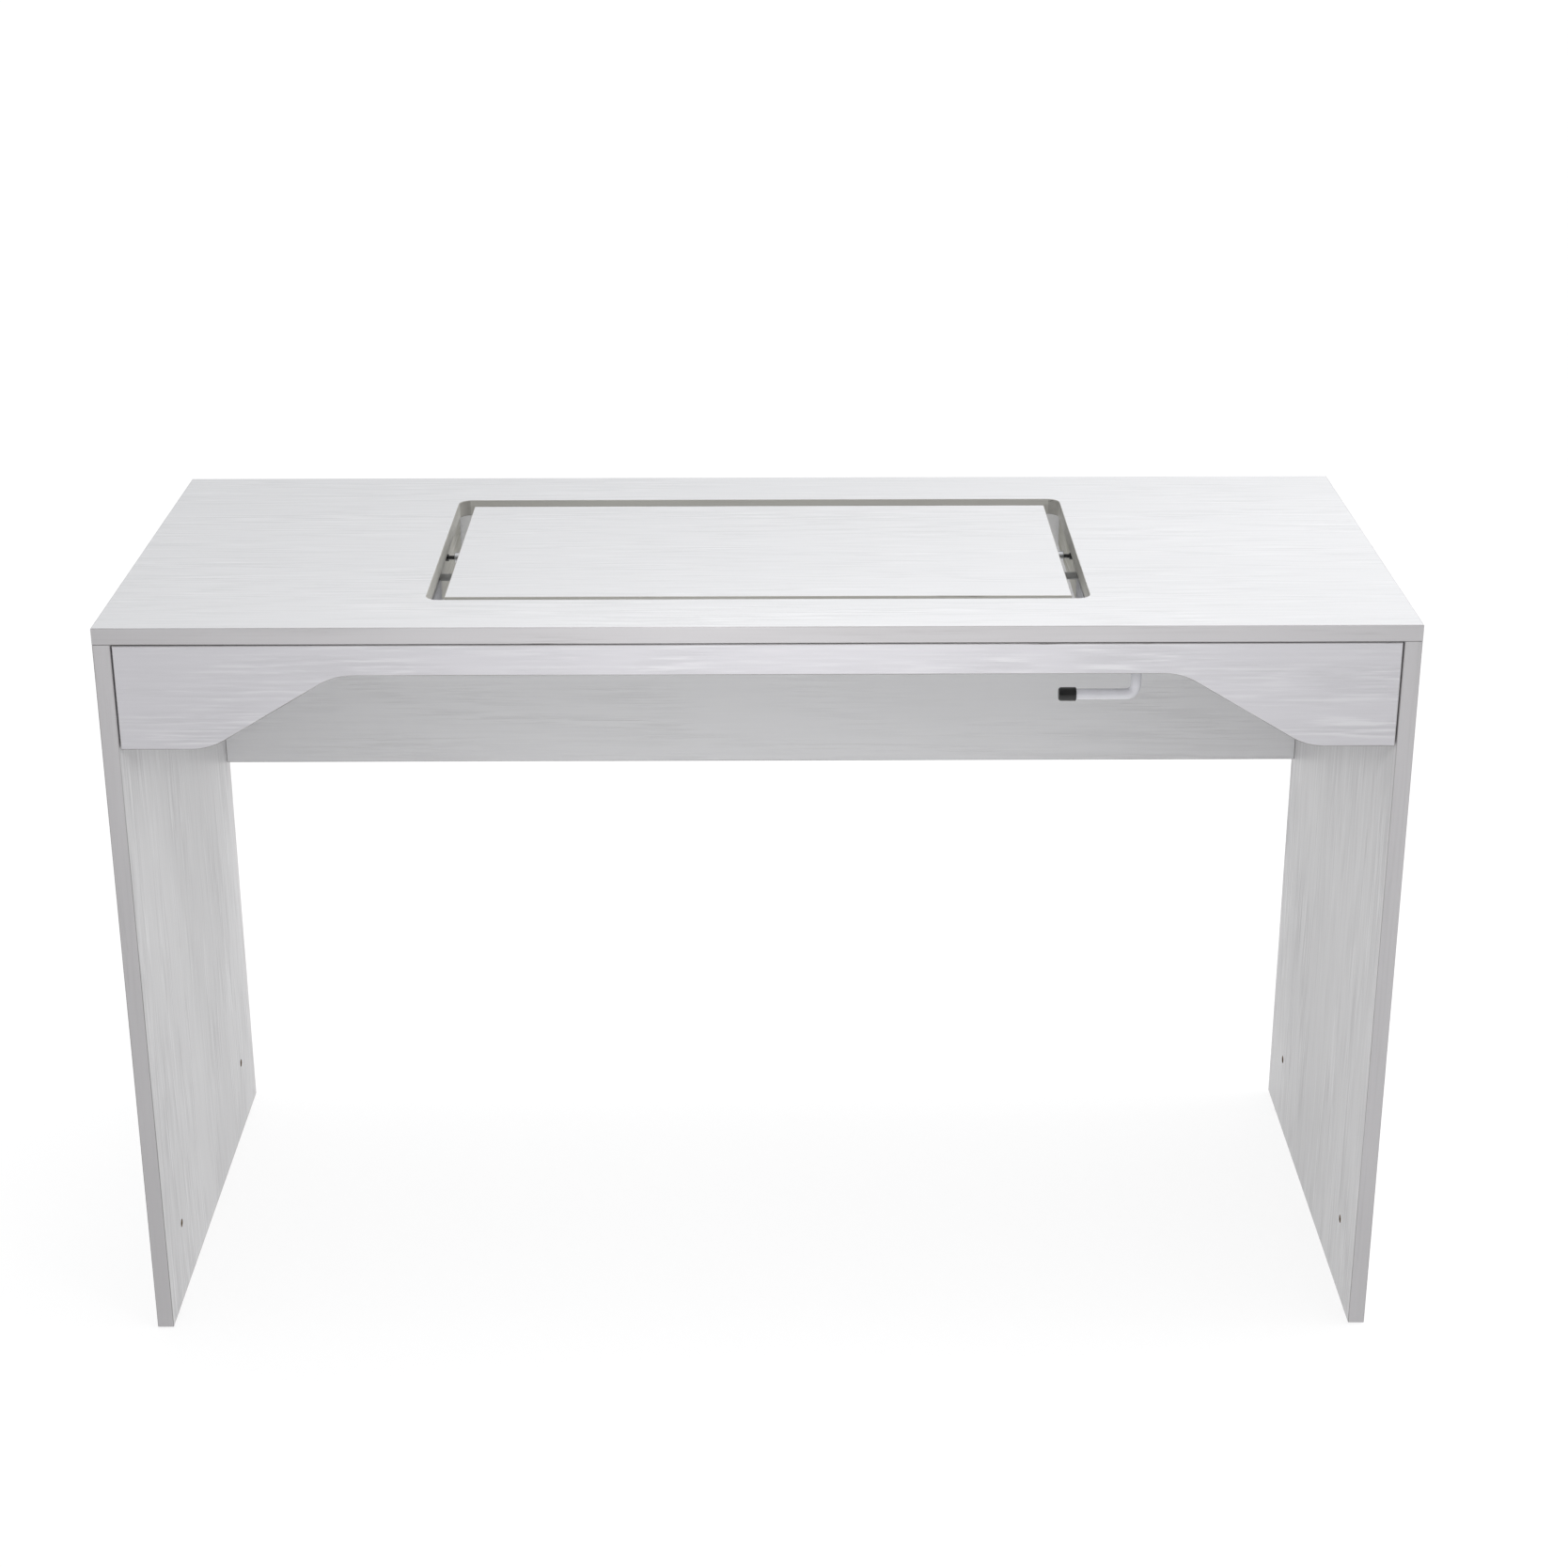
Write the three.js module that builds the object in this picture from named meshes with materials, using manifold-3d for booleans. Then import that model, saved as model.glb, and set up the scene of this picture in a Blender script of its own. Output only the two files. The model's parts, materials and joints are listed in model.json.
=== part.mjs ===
// A sewing table: a white board carcass whose top has a cutout, and a platform in the cutout
// that carries the machine. The platform hangs on two pairs of parallel swing arms, so it stays
// level while it goes down, and a hand lever under the top frees the brake that holds it.
import * as THREE from "three";
import { mergeVertices } from "three/addons/utils/BufferGeometryUtils.js";
import Module from "manifold-3d";

// Sizes in millimetres. X runs from the table's middle to the right, Y from its front edge
// to the back, and Z up from the floor.
const WIDTH = 1200;
const DEPTH = 490;
const HEIGHT = 735;
const BOARD = 16;
const GLIDE_HEIGHT = 2.5;
const BACK_PANEL_HEIGHT = 300;

// Front apron: a low arch with straight slopes and round bends.
const APRON_TOP_JOINT = 1;
const APRON_SIDE_JOINT = 1.5;
const APRON_END_HEIGHT = 100;
const APRON_MIDDLE_HEIGHT = 29;
const ARCH_FLAT_HALF = 367;
const ARCH_SLOPE = THREE.MathUtils.degToRad(31);
const ARCH_BEND_RADIUS = 60;

// Cutout in the top, and the platform that fills it.
const CUTOUT_HALF = 308;
const CUTOUT_FRONT = 80;
const CUTOUT_BACK = 406;
const CUTOUT_CORNER = 12;
const PLATFORM_HALF = 291.5;
const PLATFORM_FRONT = 89;
const PLATFORM_BACK = 385;
const PLATFORM_SET_DOWN = 0.5;

// Swing arms. They go down from the rest angle to the low angle.
const ARM_LENGTH = 85;
const ARM_REST_ANGLE = THREE.MathUtils.degToRad(25);
const ARM_LOW_ANGLE = THREE.MathUtils.degToRad(-35.3);
const ARM_HALF_WIDTH = 12;
const ARM_INNER = 294.5;
const ARM_THICKNESS = 4;
const FRONT_PIVOT_Y = 112;
const REAR_PIVOT_Y = 238;
const ARM_TIP_Z = 702;
const SHAFT_RADIUS = 6;

// Rails beside the cutout, and the steel side plates on them.
const RAIL_INNER = 317;
const RAIL_FRONT = 75;
const RAIL_BACK_JOINT = 1;
const RAIL_HEIGHT = 55;
const RAIL_NOTCH = { back: 255, depth: 15 };
const PLATE_THICKNESS = 2.7;
const PLATE_FRONT = 98.5;
const PLATE_BACK = 262;
const PLATE_TOP = 697.5;
const PLATE_BOTTOM = 652.5;
const PLATE_EAR_RADIUS = 9;
const BOSS_RADIUS = 8;

// Stops: a pad on each rail above the rear arm, and a peg on each side plate below it.
const UP_STOP_ALONG = 38.7;
const UP_STOP_RADIUS = 3.6;
const DOWN_STOP_ALONG = 24;
const DOWN_STOP_RADIUS = 4;

// Bolts. The fixed pivots and the front shaft have M8 bolts, the rear shaft M4 bolts that
// stand out from a boss on each arm.
const M8 = { shank: 4, bore: 4.35, head: 6.5, headHeight: 2.2 };
const M4 = { shank: 2, bore: 2.3, head: 3.5, headHeight: 3.6 };
const NUT_RADIUS = 7.2;
const NUT_HEIGHT = 5;
const THREAD_PAST_NUT = 0.5;
const SHAFT_BOLT_DEPTH = 14;
const REAR_BOLT_HEAD_X = 315.6;
const REAR_BOSS = { outerX: 306, radius: 5 };

// Brake: a sector on the front right pivot, and a shoe on the lever that rubs on it.
const SECTOR_INNER = 351.5;
const SECTOR_THICKNESS = 3;
const SECTOR_RADIUS = 26;
const SECTOR_HUB_RADIUS = 9;
const SECTOR_START = THREE.MathUtils.degToRad(78);
const SECTOR_END = THREE.MathUtils.degToRad(162);
const SHOE = { innerX: 344.5, ys: [104, 120], bottomZ: 672 };

// Release lever: a bent rod that turns under the top.
const ROD_RADIUS = 5;
const ROD_BEND = 10;
const LEVER_X = 348;
const LEVER_Z = 700;
const LEVER_FRONT = 40;
const LEVER_BACK = 152;
const HANDLE_Z = 655;
const HANDLE_END_X = 280;
const CAP_LENGTH = 16;
const CAP_END_X = 277;
const CAP_RADIUS = 6.4;
const SPRING_YS = [79, 101];
const SPRING_THICKNESS = 2;
const BEARING_YS = { front: [66, 78], rear: [136, 148] };
const BEARING_HALF = 10;
const BEARING_FOOT = { overhang: 9, thickness: 4 };

// Cam locks, spare holes and glides.
const CAM_RADIUS = 7.5;
const CAM_DEPTH = 12;
const CAM_EDGE_DISTANCE = 34;
const SIDE_CAM_YS = { front: 60, rear: 430 };
const BACK_CAM_INSETS = { low: 51, high: 49 };
const APRON_CAM_DROP = 52;
const SPARE_HOLE = { radius: 4.2, depth: 11, z: 78.5, ys: [72, 419] };
const GLIDE_YS = { front: 27, rear: 445 };
const GLIDE_RADIUS = 7.6;

// Angle brackets.
const SMALL_ANGLE = { flange: 20, thickness: 2, width: 30 };
const APRON_BRACKET_X = 200;
const RAIL_BRACKET_YS = { front: 185, rear: 365 };
const PLATFORM_ANGLE = { flange: 30, thickness: 3, overhang: 17, drop: 14 };

const GAP = 0.3;
const ROUND_SIDES = 18;
const SMALL_SIDES = 12;

// Values that follow from them.
const TOP_UNDERSIDE = HEIGHT - BOARD;
const PANEL_INNER = WIDTH / 2 - BOARD;
const ARM_OUTER = ARM_INNER + ARM_THICKNESS;
const ARM_REACH = ARM_LENGTH * Math.cos(ARM_REST_ANGLE);
const ARM_PIVOT_Z = ARM_TIP_Z - ARM_LENGTH * Math.sin(ARM_REST_ANGLE);
const SHAFT_HALF = ARM_INNER - GAP;
const PLATE_INNER = RAIL_INNER - PLATE_THICKNESS;
const RAIL_OUTER = RAIL_INNER + BOARD;
const RAIL_BACK = DEPTH - BOARD - RAIL_BACK_JOINT;
const RAIL_BOTTOM = TOP_UNDERSIDE - RAIL_HEIGHT;
const RAIL_NOTCH_TOP = RAIL_BOTTOM + RAIL_NOTCH.depth;
const PLATFORM_UNDERSIDE = TOP_UNDERSIDE - PLATFORM_SET_DOWN;
const SIDES = Object.entries({ left: -1, right: 1 });

const wasm = await Module();
wasm.setup();

const FINISHES = {
  melamine: { color: 0xe9e9e8, roughness: 0.5, metalness: 0 },
  steel: { color: 0xa9adb2, roughness: 0.35, metalness: 1 },
  zinc: { color: 0xc4c6c8, roughness: 0.4, metalness: 1 },
  white_steel: { color: 0xf0f0f2, roughness: 0.3, metalness: 0.1 },
  rubber: { color: 0x141414, roughness: 0.6, metalness: 0 },
  grey_plastic: { color: 0x55585c, roughness: 0.5, metalness: 0 },
};

function addPiece(parent, name, geometry, finish) {
  const mesh = new THREE.Mesh(geometry, new THREE.MeshStandardMaterial(FINISHES[finish]));
  mesh.name = name;
  parent.add(mesh);
  return mesh;
}

function addGroup(parent, x, y, z) {
  const group = new THREE.Group();
  group.position.set(x, y, z);
  parent.add(group);
  return group;
}

// A closed geometry as a manifold solid, and back.
function solidOf(geometry) {
  const bare = geometry.index ? geometry.toNonIndexed() : geometry.clone();
  bare.deleteAttribute("normal");
  bare.deleteAttribute("uv");
  const merged = mergeVertices(bare, 1e-4);
  return new wasm.Manifold(
    new wasm.Mesh({
      numProp: 3,
      vertProperties: new Float32Array(merged.attributes.position.array),
      triVerts: new Uint32Array(merged.index.array),
    }),
  );
}

function geometryOf(solid) {
  const mesh = solid.getMesh();
  const indexed = new THREE.BufferGeometry();
  indexed.setAttribute("position", new THREE.BufferAttribute(mesh.vertProperties, 3));
  indexed.setIndex(new THREE.BufferAttribute(mesh.triVerts, 1));
  const flat = indexed.toNonIndexed();
  flat.computeVertexNormals();
  return flat;
}

function join(geometry, ...others) {
  return geometryOf(others.reduce((sum, other) => sum.add(solidOf(other)), solidOf(geometry)));
}

function cut(geometry, ...tools) {
  return geometryOf(tools.reduce((rest, tool) => rest.subtract(solidOf(tool)), solidOf(geometry)));
}

// A block that fills a range along each axis.
function block([x0, x1], [y0, y1], [z0, z1]) {
  const geometry = new THREE.BoxGeometry(x1 - x0, y1 - y0, z1 - z0);
  return geometry.translate((x0 + x1) / 2, (y0 + y1) / 2, (z0 + z1) / 2);
}

// The X range between two distances from the table's middle, on the left (-1) or right (1).
function across(sign, near, far) {
  return sign > 0 ? [near, far] : [-far, -near];
}

// A turned piece. The profile's points are [radius, distance along the axis].
function turned(profile, from, axis, sides = ROUND_SIDES) {
  const points = profile.map(([radius, along]) => new THREE.Vector2(radius, along));
  const turn = new THREE.Quaternion().setFromUnitVectors(new THREE.Vector3(0, 1, 0), axis);
  return new THREE.LatheGeometry(points, sides).applyQuaternion(turn).translate(...from);
}

function cylinder(radius, length, from, axis, sides = ROUND_SIDES) {
  const profile = [[0, 0], [radius, 0], [radius, length], [0, length]];
  return turned(profile, from, axis, sides);
}

function ring(innerRadius, outerRadius, length, from, axis) {
  const profile = [
    [innerRadius, 0],
    [outerRadius, 0],
    [outerRadius, length],
    [innerRadius, length],
    [innerRadius, 0],
  ];
  return turned(profile, from, axis);
}

const ALONG_X = new THREE.Vector3(1, 0, 0);
const ALONG_Y = new THREE.Vector3(0, 1, 0);
const ALONG_Z = new THREE.Vector3(0, 0, 1);
const FORWARD = new THREE.Vector3(0, -1, 0);
const outward = (sign) => new THREE.Vector3(sign, 0, 0);
const inward = (sign) => new THREE.Vector3(-sign, 0, 0);

// An outline in the plane of Y and Z, given its thickness along X.
function plateAlongX(outline, [x0, x1], bendSteps = 5) {
  const options = { depth: x1 - x0, bevelEnabled: false, curveSegments: bendSteps };
  const turn = new THREE.Matrix4().makeBasis(ALONG_Y, ALONG_Z, ALONG_X);
  return new THREE.ExtrudeGeometry(outline, options).applyMatrix4(turn).translate(x0, 0, 0);
}

// An outline in the plane of X and Z, given its thickness along Y.
function plateAlongY(outline, [y0, y1], bendSteps = 5) {
  const options = { depth: y1 - y0, bevelEnabled: false, curveSegments: bendSteps };
  const turn = new THREE.Matrix4().makeBasis(ALONG_X, ALONG_Z, new THREE.Vector3(0, -1, 0));
  return new THREE.ExtrudeGeometry(outline, options).applyMatrix4(turn).translate(0, y1, 0);
}

function roundHole(u, v, radius) {
  return new THREE.Path().absarc(u, v, radius, 0, 2 * Math.PI, true);
}

// A bolt from the outer face of its head. Its size holds the radii and the head's height.
function bolt(size, length, from, axis) {
  const profile = [
    [0, 0],
    [size.head * 0.8, 0],
    [size.head, size.headHeight * 0.4],
    [size.head, size.headHeight],
    [size.shank, size.headHeight],
    [size.shank, length],
    [0, length],
  ];
  return turned(profile, from, axis, SMALL_SIDES);
}

function nut(from, axis) {
  const hexagon = cylinder(NUT_RADIUS, NUT_HEIGHT, from, axis, 6);
  const boreStart = new THREE.Vector3(...from).sub(axis).toArray();
  return cut(hexagon, cylinder(M8.bore, NUT_HEIGHT + 2, boreStart, axis));
}

// An angle bracket: two equal flanges, extruded over a width.
function angleOutline(flange, thickness) {
  const outline = new THREE.Shape();
  outline.moveTo(0, 0).lineTo(flange, 0).lineTo(flange, -thickness).lineTo(thickness, -thickness);
  outline.lineTo(thickness, -flange).lineTo(0, -flange);
  return outline;
}

// Cam locks hold the boards together. Each sits in a blind bore in a board's hidden face.
function camBore(from, axis) {
  return cylinder(CAM_RADIUS + GAP, CAM_DEPTH + GAP, from, axis);
}

function camLock(from, axis) {
  return cylinder(CAM_RADIUS, CAM_DEPTH, from, axis);
}

function addTableTop(parent) {
  const outline = new THREE.Shape();
  outline.moveTo(-WIDTH / 2, 0).lineTo(WIDTH / 2, 0).lineTo(WIDTH / 2, DEPTH);
  outline.lineTo(-WIDTH / 2, DEPTH);
  const half = CUTOUT_HALF - CUTOUT_CORNER;
  const front = CUTOUT_FRONT + CUTOUT_CORNER;
  const back = CUTOUT_BACK - CUTOUT_CORNER;
  const quarter = Math.PI / 2;
  const cutout = new THREE.Path();
  cutout.absarc(half, front, CUTOUT_CORNER, -quarter, 0);
  cutout.absarc(half, back, CUTOUT_CORNER, 0, quarter);
  cutout.absarc(-half, back, CUTOUT_CORNER, quarter, 2 * quarter);
  cutout.absarc(-half, front, CUTOUT_CORNER, 2 * quarter, 3 * quarter);
  outline.holes.push(cutout);
  const options = { depth: BOARD, bevelEnabled: false, curveSegments: 4 };
  const geometry = new THREE.ExtrudeGeometry(outline, options).translate(0, 0, TOP_UNDERSIDE);
  addPiece(parent, "table_top", geometry, "melamine");
}

// Each side panel has cam bores near its top and two spare blind holes near its foot.
function addSidePanels(parent) {
  const camZ = TOP_UNDERSIDE - CAM_EDGE_DISTANCE;
  for (const [side, sign] of SIDES) {
    const faceX = sign * PANEL_INNER;
    const panel = block(
      across(sign, PANEL_INNER, WIDTH / 2),
      [0, DEPTH],
      [GLIDE_HEIGHT, TOP_UNDERSIDE],
    );
    const bores = Object.values(SIDE_CAM_YS).map((y) => camBore([faceX, y, camZ], outward(sign)));
    const { radius, depth, z } = SPARE_HOLE;
    const holes = SPARE_HOLE.ys.map((y) =>
      cylinder(radius, depth, [faceX, y, z], outward(sign), SMALL_SIDES),
    );
    addPiece(parent, `side_panel_${side}`, cut(panel, ...bores, ...holes), "melamine");
    for (const [end, y] of Object.entries(SIDE_CAM_YS)) {
      const lock = camLock([faceX, y, camZ], outward(sign));
      addPiece(parent, `side_cam_${end}_${side}`, lock, "zinc");
    }
  }
}

// A glide under each corner: a disc with a bevelled foot.
function addGlides(parent) {
  const profile = [
    [0, 0],
    [GLIDE_RADIUS - 1, 0],
    [GLIDE_RADIUS, 0.8],
    [GLIDE_RADIUS, GLIDE_HEIGHT],
    [0, GLIDE_HEIGHT],
  ];
  for (const [side, sign] of SIDES) {
    for (const [end, y] of Object.entries(GLIDE_YS)) {
      const place = [sign * (WIDTH / 2 - BOARD / 2), y, 0];
      addPiece(parent, `glide_${end}_${side}`, turned(profile, place, ALONG_Z, SMALL_SIDES), "rubber");
    }
  }
}

function addBackPanel(parent) {
  const bottom = TOP_UNDERSIDE - BACK_PANEL_HEIGHT;
  const camX = PANEL_INNER - CAM_EDGE_DISTANCE;
  const camZs = { low: bottom + BACK_CAM_INSETS.low, high: TOP_UNDERSIDE - BACK_CAM_INSETS.high };
  const tools = [];
  for (const [side, sign] of SIDES) {
    for (const [level, z] of Object.entries(camZs)) {
      const place = [sign * camX, DEPTH, z];
      tools.push(camBore(place, FORWARD));
      addPiece(parent, `back_cam_${level}_${side}`, camLock(place, FORWARD), "zinc");
    }
  }
  const panel = block(
    [-PANEL_INNER, PANEL_INNER],
    [DEPTH - BOARD, DEPTH],
    [bottom, TOP_UNDERSIDE],
  );
  addPiece(parent, "back_panel", cut(panel, ...tools), "melamine");
}

// The apron is high at both ends and low in the middle, where the sitter's knees go.
function apronOutline() {
  const half = PANEL_INNER - APRON_SIDE_JOINT;
  const top = TOP_UNDERSIDE - APRON_TOP_JOINT;
  const endBottom = top - APRON_END_HEIGHT;
  const middleBottom = top - APRON_MIDDLE_HEIGHT;
  const bendRise = ARCH_BEND_RADIUS * (1 - Math.cos(ARCH_SLOPE));
  const bendRun = ARCH_BEND_RADIUS * Math.sin(ARCH_SLOPE);
  const straightRun = (middleBottom - endBottom - 2 * bendRise) / Math.tan(ARCH_SLOPE);
  const lowBendX = ARCH_FLAT_HALF + 2 * bendRun + straightRun;
  const lowCentreZ = endBottom + ARCH_BEND_RADIUS;
  const highCentreZ = middleBottom - ARCH_BEND_RADIUS;
  const down = -Math.PI / 2;
  const up = Math.PI / 2;
  const outline = new THREE.Shape();
  outline.moveTo(-half, top).lineTo(-half, endBottom);
  outline.absarc(-lowBendX, lowCentreZ, ARCH_BEND_RADIUS, down, down + ARCH_SLOPE);
  outline.absarc(-ARCH_FLAT_HALF, highCentreZ, ARCH_BEND_RADIUS, up + ARCH_SLOPE, up, true);
  outline.absarc(ARCH_FLAT_HALF, highCentreZ, ARCH_BEND_RADIUS, up, up - ARCH_SLOPE, true);
  outline.absarc(lowBendX, lowCentreZ, ARCH_BEND_RADIUS, down - ARCH_SLOPE, down);
  outline.lineTo(half, endBottom).lineTo(half, top);
  return outline;
}

function addFrontApron(parent) {
  const camX = PANEL_INNER - APRON_SIDE_JOINT - CAM_EDGE_DISTANCE;
  const camZ = TOP_UNDERSIDE - APRON_CAM_DROP;
  const tools = [];
  for (const [side, sign] of SIDES) {
    const place = [sign * camX, BOARD, camZ];
    tools.push(camBore(place, FORWARD));
    addPiece(parent, `apron_cam_${side}`, camLock(place, FORWARD), "zinc");
  }
  const apron = plateAlongY(apronOutline(), [0, BOARD]);
  addPiece(parent, "front_apron", cut(apron, ...tools), "melamine");

  for (const [side, sign] of SIDES) {
    const x0 = sign * APRON_BRACKET_X - SMALL_ANGLE.width / 2;
    const outline = angleOutline(SMALL_ANGLE.flange, SMALL_ANGLE.thickness);
    const geometry = plateAlongX(outline, [x0, x0 + SMALL_ANGLE.width]);
    geometry.translate(0, BOARD, TOP_UNDERSIDE);
    addPiece(parent, `apron_bracket_${side}`, geometry, "zinc");
  }
}

// A rail's lower edge is notched from the front, to clear the pivots.
function railOutline() {
  const outline = new THREE.Shape();
  outline.moveTo(RAIL_FRONT, TOP_UNDERSIDE).lineTo(RAIL_FRONT, RAIL_NOTCH_TOP);
  outline.lineTo(RAIL_NOTCH.back, RAIL_NOTCH_TOP).lineTo(RAIL_NOTCH.back, RAIL_BOTTOM);
  outline.lineTo(RAIL_BACK, RAIL_BOTTOM).lineTo(RAIL_BACK, TOP_UNDERSIDE);
  return outline;
}

function addRails(parent) {
  const { flange, thickness, width } = SMALL_ANGLE;
  for (const [side, sign] of SIDES) {
    const rail = plateAlongX(railOutline(), across(sign, RAIL_INNER, RAIL_OUTER));
    addPiece(parent, `lift_rail_${side}`, rail, "melamine");
    for (const [end, y0] of Object.entries(RAIL_BRACKET_YS)) {
      const level = block(
        across(sign, RAIL_OUTER, RAIL_OUTER + flange),
        [y0, y0 + width],
        [TOP_UNDERSIDE - thickness, TOP_UNDERSIDE],
      );
      const upright = block(
        across(sign, RAIL_OUTER, RAIL_OUTER + thickness),
        [y0, y0 + width],
        [TOP_UNDERSIDE - flange, TOP_UNDERSIDE],
      );
      addPiece(parent, `rail_bracket_${end}_${side}`, join(level, upright), "zinc");
    }
  }
}

// A place beside the rear arm when it stands at an angle: along it, and square to it.
function besideRearArm(along, offset, angle) {
  const y = REAR_PIVOT_Y + along * Math.cos(angle) - offset * Math.sin(angle);
  const z = ARM_PIVOT_Z + along * Math.sin(angle) + offset * Math.cos(angle);
  return { y, z };
}

const UP_STOP = besideRearArm(
  UP_STOP_ALONG,
  ARM_HALF_WIDTH + UP_STOP_RADIUS + GAP,
  ARM_REST_ANGLE,
);
const DOWN_STOP = besideRearArm(
  DOWN_STOP_ALONG,
  -(ARM_HALF_WIDTH + DOWN_STOP_RADIUS + GAP),
  ARM_LOW_ANGLE,
);

// The plate's lower edge steps down to an ear round the peg, and slopes up behind it.
function sidePlateOutline() {
  const frontRadius = FRONT_PIVOT_Y - PLATE_FRONT;
  const topFrontRadius = 6;
  const topBackRadius = 8;
  const earStart = THREE.MathUtils.degToRad(-126);
  const earEnd = THREE.MathUtils.degToRad(-17);
  const slopeRun = 26;
  const slopeRise = 18;
  const quarter = Math.PI / 2;
  const outline = new THREE.Shape();
  outline.absarc(FRONT_PIVOT_Y, PLATE_BOTTOM + frontRadius, frontRadius, 2 * quarter, 3 * quarter);
  outline.lineTo(DOWN_STOP.y - slopeRun, PLATE_BOTTOM);
  outline.absarc(DOWN_STOP.y, DOWN_STOP.z, PLATE_EAR_RADIUS, earStart, earEnd);
  outline.lineTo(PLATE_BACK, DOWN_STOP.z + slopeRise);
  outline.absarc(PLATE_BACK - topBackRadius, PLATE_TOP - topBackRadius, topBackRadius, 0, quarter);
  outline.absarc(
    PLATE_FRONT + topFrontRadius,
    PLATE_TOP - topFrontRadius,
    topFrontRadius,
    quarter,
    2 * quarter,
  );
  return outline;
}

// Each side plate carries its fixed pivots on bosses, and a peg that stops the rear arm below.
// What stands on the plate starts a little inside it, so that they join.
function addSidePlates(parent) {
  const overlap = 1;
  const startX = PLATE_INNER + overlap;
  for (const [side, sign] of SIDES) {
    const plate = plateAlongX(sidePlateOutline(), across(sign, PLATE_INNER, RAIL_INNER));
    const bosses = [];
    const bores = [];
    for (const y of [FRONT_PIVOT_Y, REAR_PIVOT_Y]) {
      const bossLength = startX - ARM_OUTER - GAP;
      bosses.push(cylinder(BOSS_RADIUS, bossLength, [sign * startX, y, ARM_PIVOT_Z], inward(sign)));
      const boreStart = [sign * (RAIL_INNER + overlap), y, ARM_PIVOT_Z];
      const boreLength = RAIL_INNER - ARM_OUTER + 2 * overlap;
      bores.push(cylinder(M8.bore, boreLength, boreStart, inward(sign)));
    }
    const pegStart = [sign * startX, DOWN_STOP.y, DOWN_STOP.z];
    const pegLength = startX - ARM_INNER;
    const peg = cylinder(DOWN_STOP_RADIUS, pegLength, pegStart, inward(sign), SMALL_SIDES);
    addPiece(parent, `side_plate_${side}`, cut(join(plate, ...bosses, peg), ...bores), "steel");
  }
}

function addUpStops(parent) {
  const startX = RAIL_INNER - GAP;
  for (const [side, sign] of SIDES) {
    const start = [sign * startX, UP_STOP.y, UP_STOP.z];
    const pad = cylinder(UP_STOP_RADIUS, startX - ARM_INNER, start, inward(sign), SMALL_SIDES);
    addPiece(parent, `up_stop_${side}`, pad, "grey_plastic");
  }
}

// Pivot bolts go outwards from inside the arm, and their nuts sit outside.
function addPivotBolt(parent, sign, y, z, nutX, boltName, nutName, boltFinish) {
  const headX = ARM_INNER - GAP - M8.headHeight;
  const length = nutX + NUT_HEIGHT + THREAD_PAST_NUT - headX;
  const shaft = bolt(M8, length, [sign * headX, y, z], outward(sign));
  addPiece(parent, boltName, shaft, boltFinish);
  addPiece(parent, nutName, nut([sign * nutX, y, z], outward(sign)), "zinc");
}

// The front right pivot is the brake shaft instead.
function addFixedPivots(parent) {
  const pivots = [
    ["front_left", -1, FRONT_PIVOT_Y],
    ["rear_left", -1, REAR_PIVOT_Y],
    ["rear_right", 1, REAR_PIVOT_Y],
  ];
  const nutX = RAIL_INNER + GAP;
  for (const [place, sign, y] of pivots) {
    const names = [`pivot_bolt_${place}`, `pivot_nut_${place}`];
    addPivotBolt(parent, sign, y, ARM_PIVOT_Z, nutX, ...names, "zinc");
  }
}

// A round boss on the outer face of an arm's free end.
function armBoss(sign, size) {
  const inside = 1;
  const startX = ARM_OUTER - inside;
  const start = [sign * startX, ARM_LENGTH, 0];
  const boss = cylinder(REAR_BOSS.radius, REAR_BOSS.outerX - startX, start, outward(sign));
  const boreStart = [sign * (ARM_INNER - inside), ARM_LENGTH, 0];
  const boreLength = REAR_BOSS.outerX - ARM_INNER + 2 * inside;
  return { boss, bore: cylinder(size.bore, boreLength, boreStart, outward(sign), SMALL_SIDES) };
}

// Two arms and the cross shaft that joins their free ends. The group's X axis is the fixed
// pivot, and its Y axis runs along the arms.
function addArmPair(parent, pair, size, headX) {
  const outline = new THREE.Shape();
  outline.absarc(0, 0, ARM_HALF_WIDTH, Math.PI / 2, 1.5 * Math.PI);
  outline.absarc(ARM_LENGTH, 0, ARM_HALF_WIDTH, -Math.PI / 2, Math.PI / 2);
  outline.holes.push(roundHole(0, 0, M8.bore), roundHole(ARM_LENGTH, 0, size.bore));
  const bores = [];
  for (const [side, sign] of SIDES) {
    let arm = plateAlongX(outline, across(sign, ARM_INNER, ARM_OUTER));
    if (headX > REAR_BOSS.outerX) {
      const { boss, bore } = armBoss(sign, size);
      arm = cut(join(arm, boss), bore);
    }
    addPiece(parent, `${pair}_arm_${side}`, arm, "steel");
    const length = headX - SHAFT_HALF + SHAFT_BOLT_DEPTH - 1;
    const shaftBolt = bolt(size, length, [sign * headX, ARM_LENGTH, 0], inward(sign));
    addPiece(parent, `${pair}_shaft_bolt_${side}`, shaftBolt, "zinc");
    const boreStart = [sign * (SHAFT_HALF + 1), ARM_LENGTH, 0];
    bores.push(cylinder(size.bore, SHAFT_BOLT_DEPTH + 1, boreStart, inward(sign), SMALL_SIDES));
  }
  const shaft = cylinder(SHAFT_RADIUS, 2 * SHAFT_HALF, [-SHAFT_HALF, ARM_LENGTH, 0], ALONG_X);
  addPiece(parent, `${pair}_cross_shaft`, cut(shaft, ...bores), "steel");
}

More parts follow.
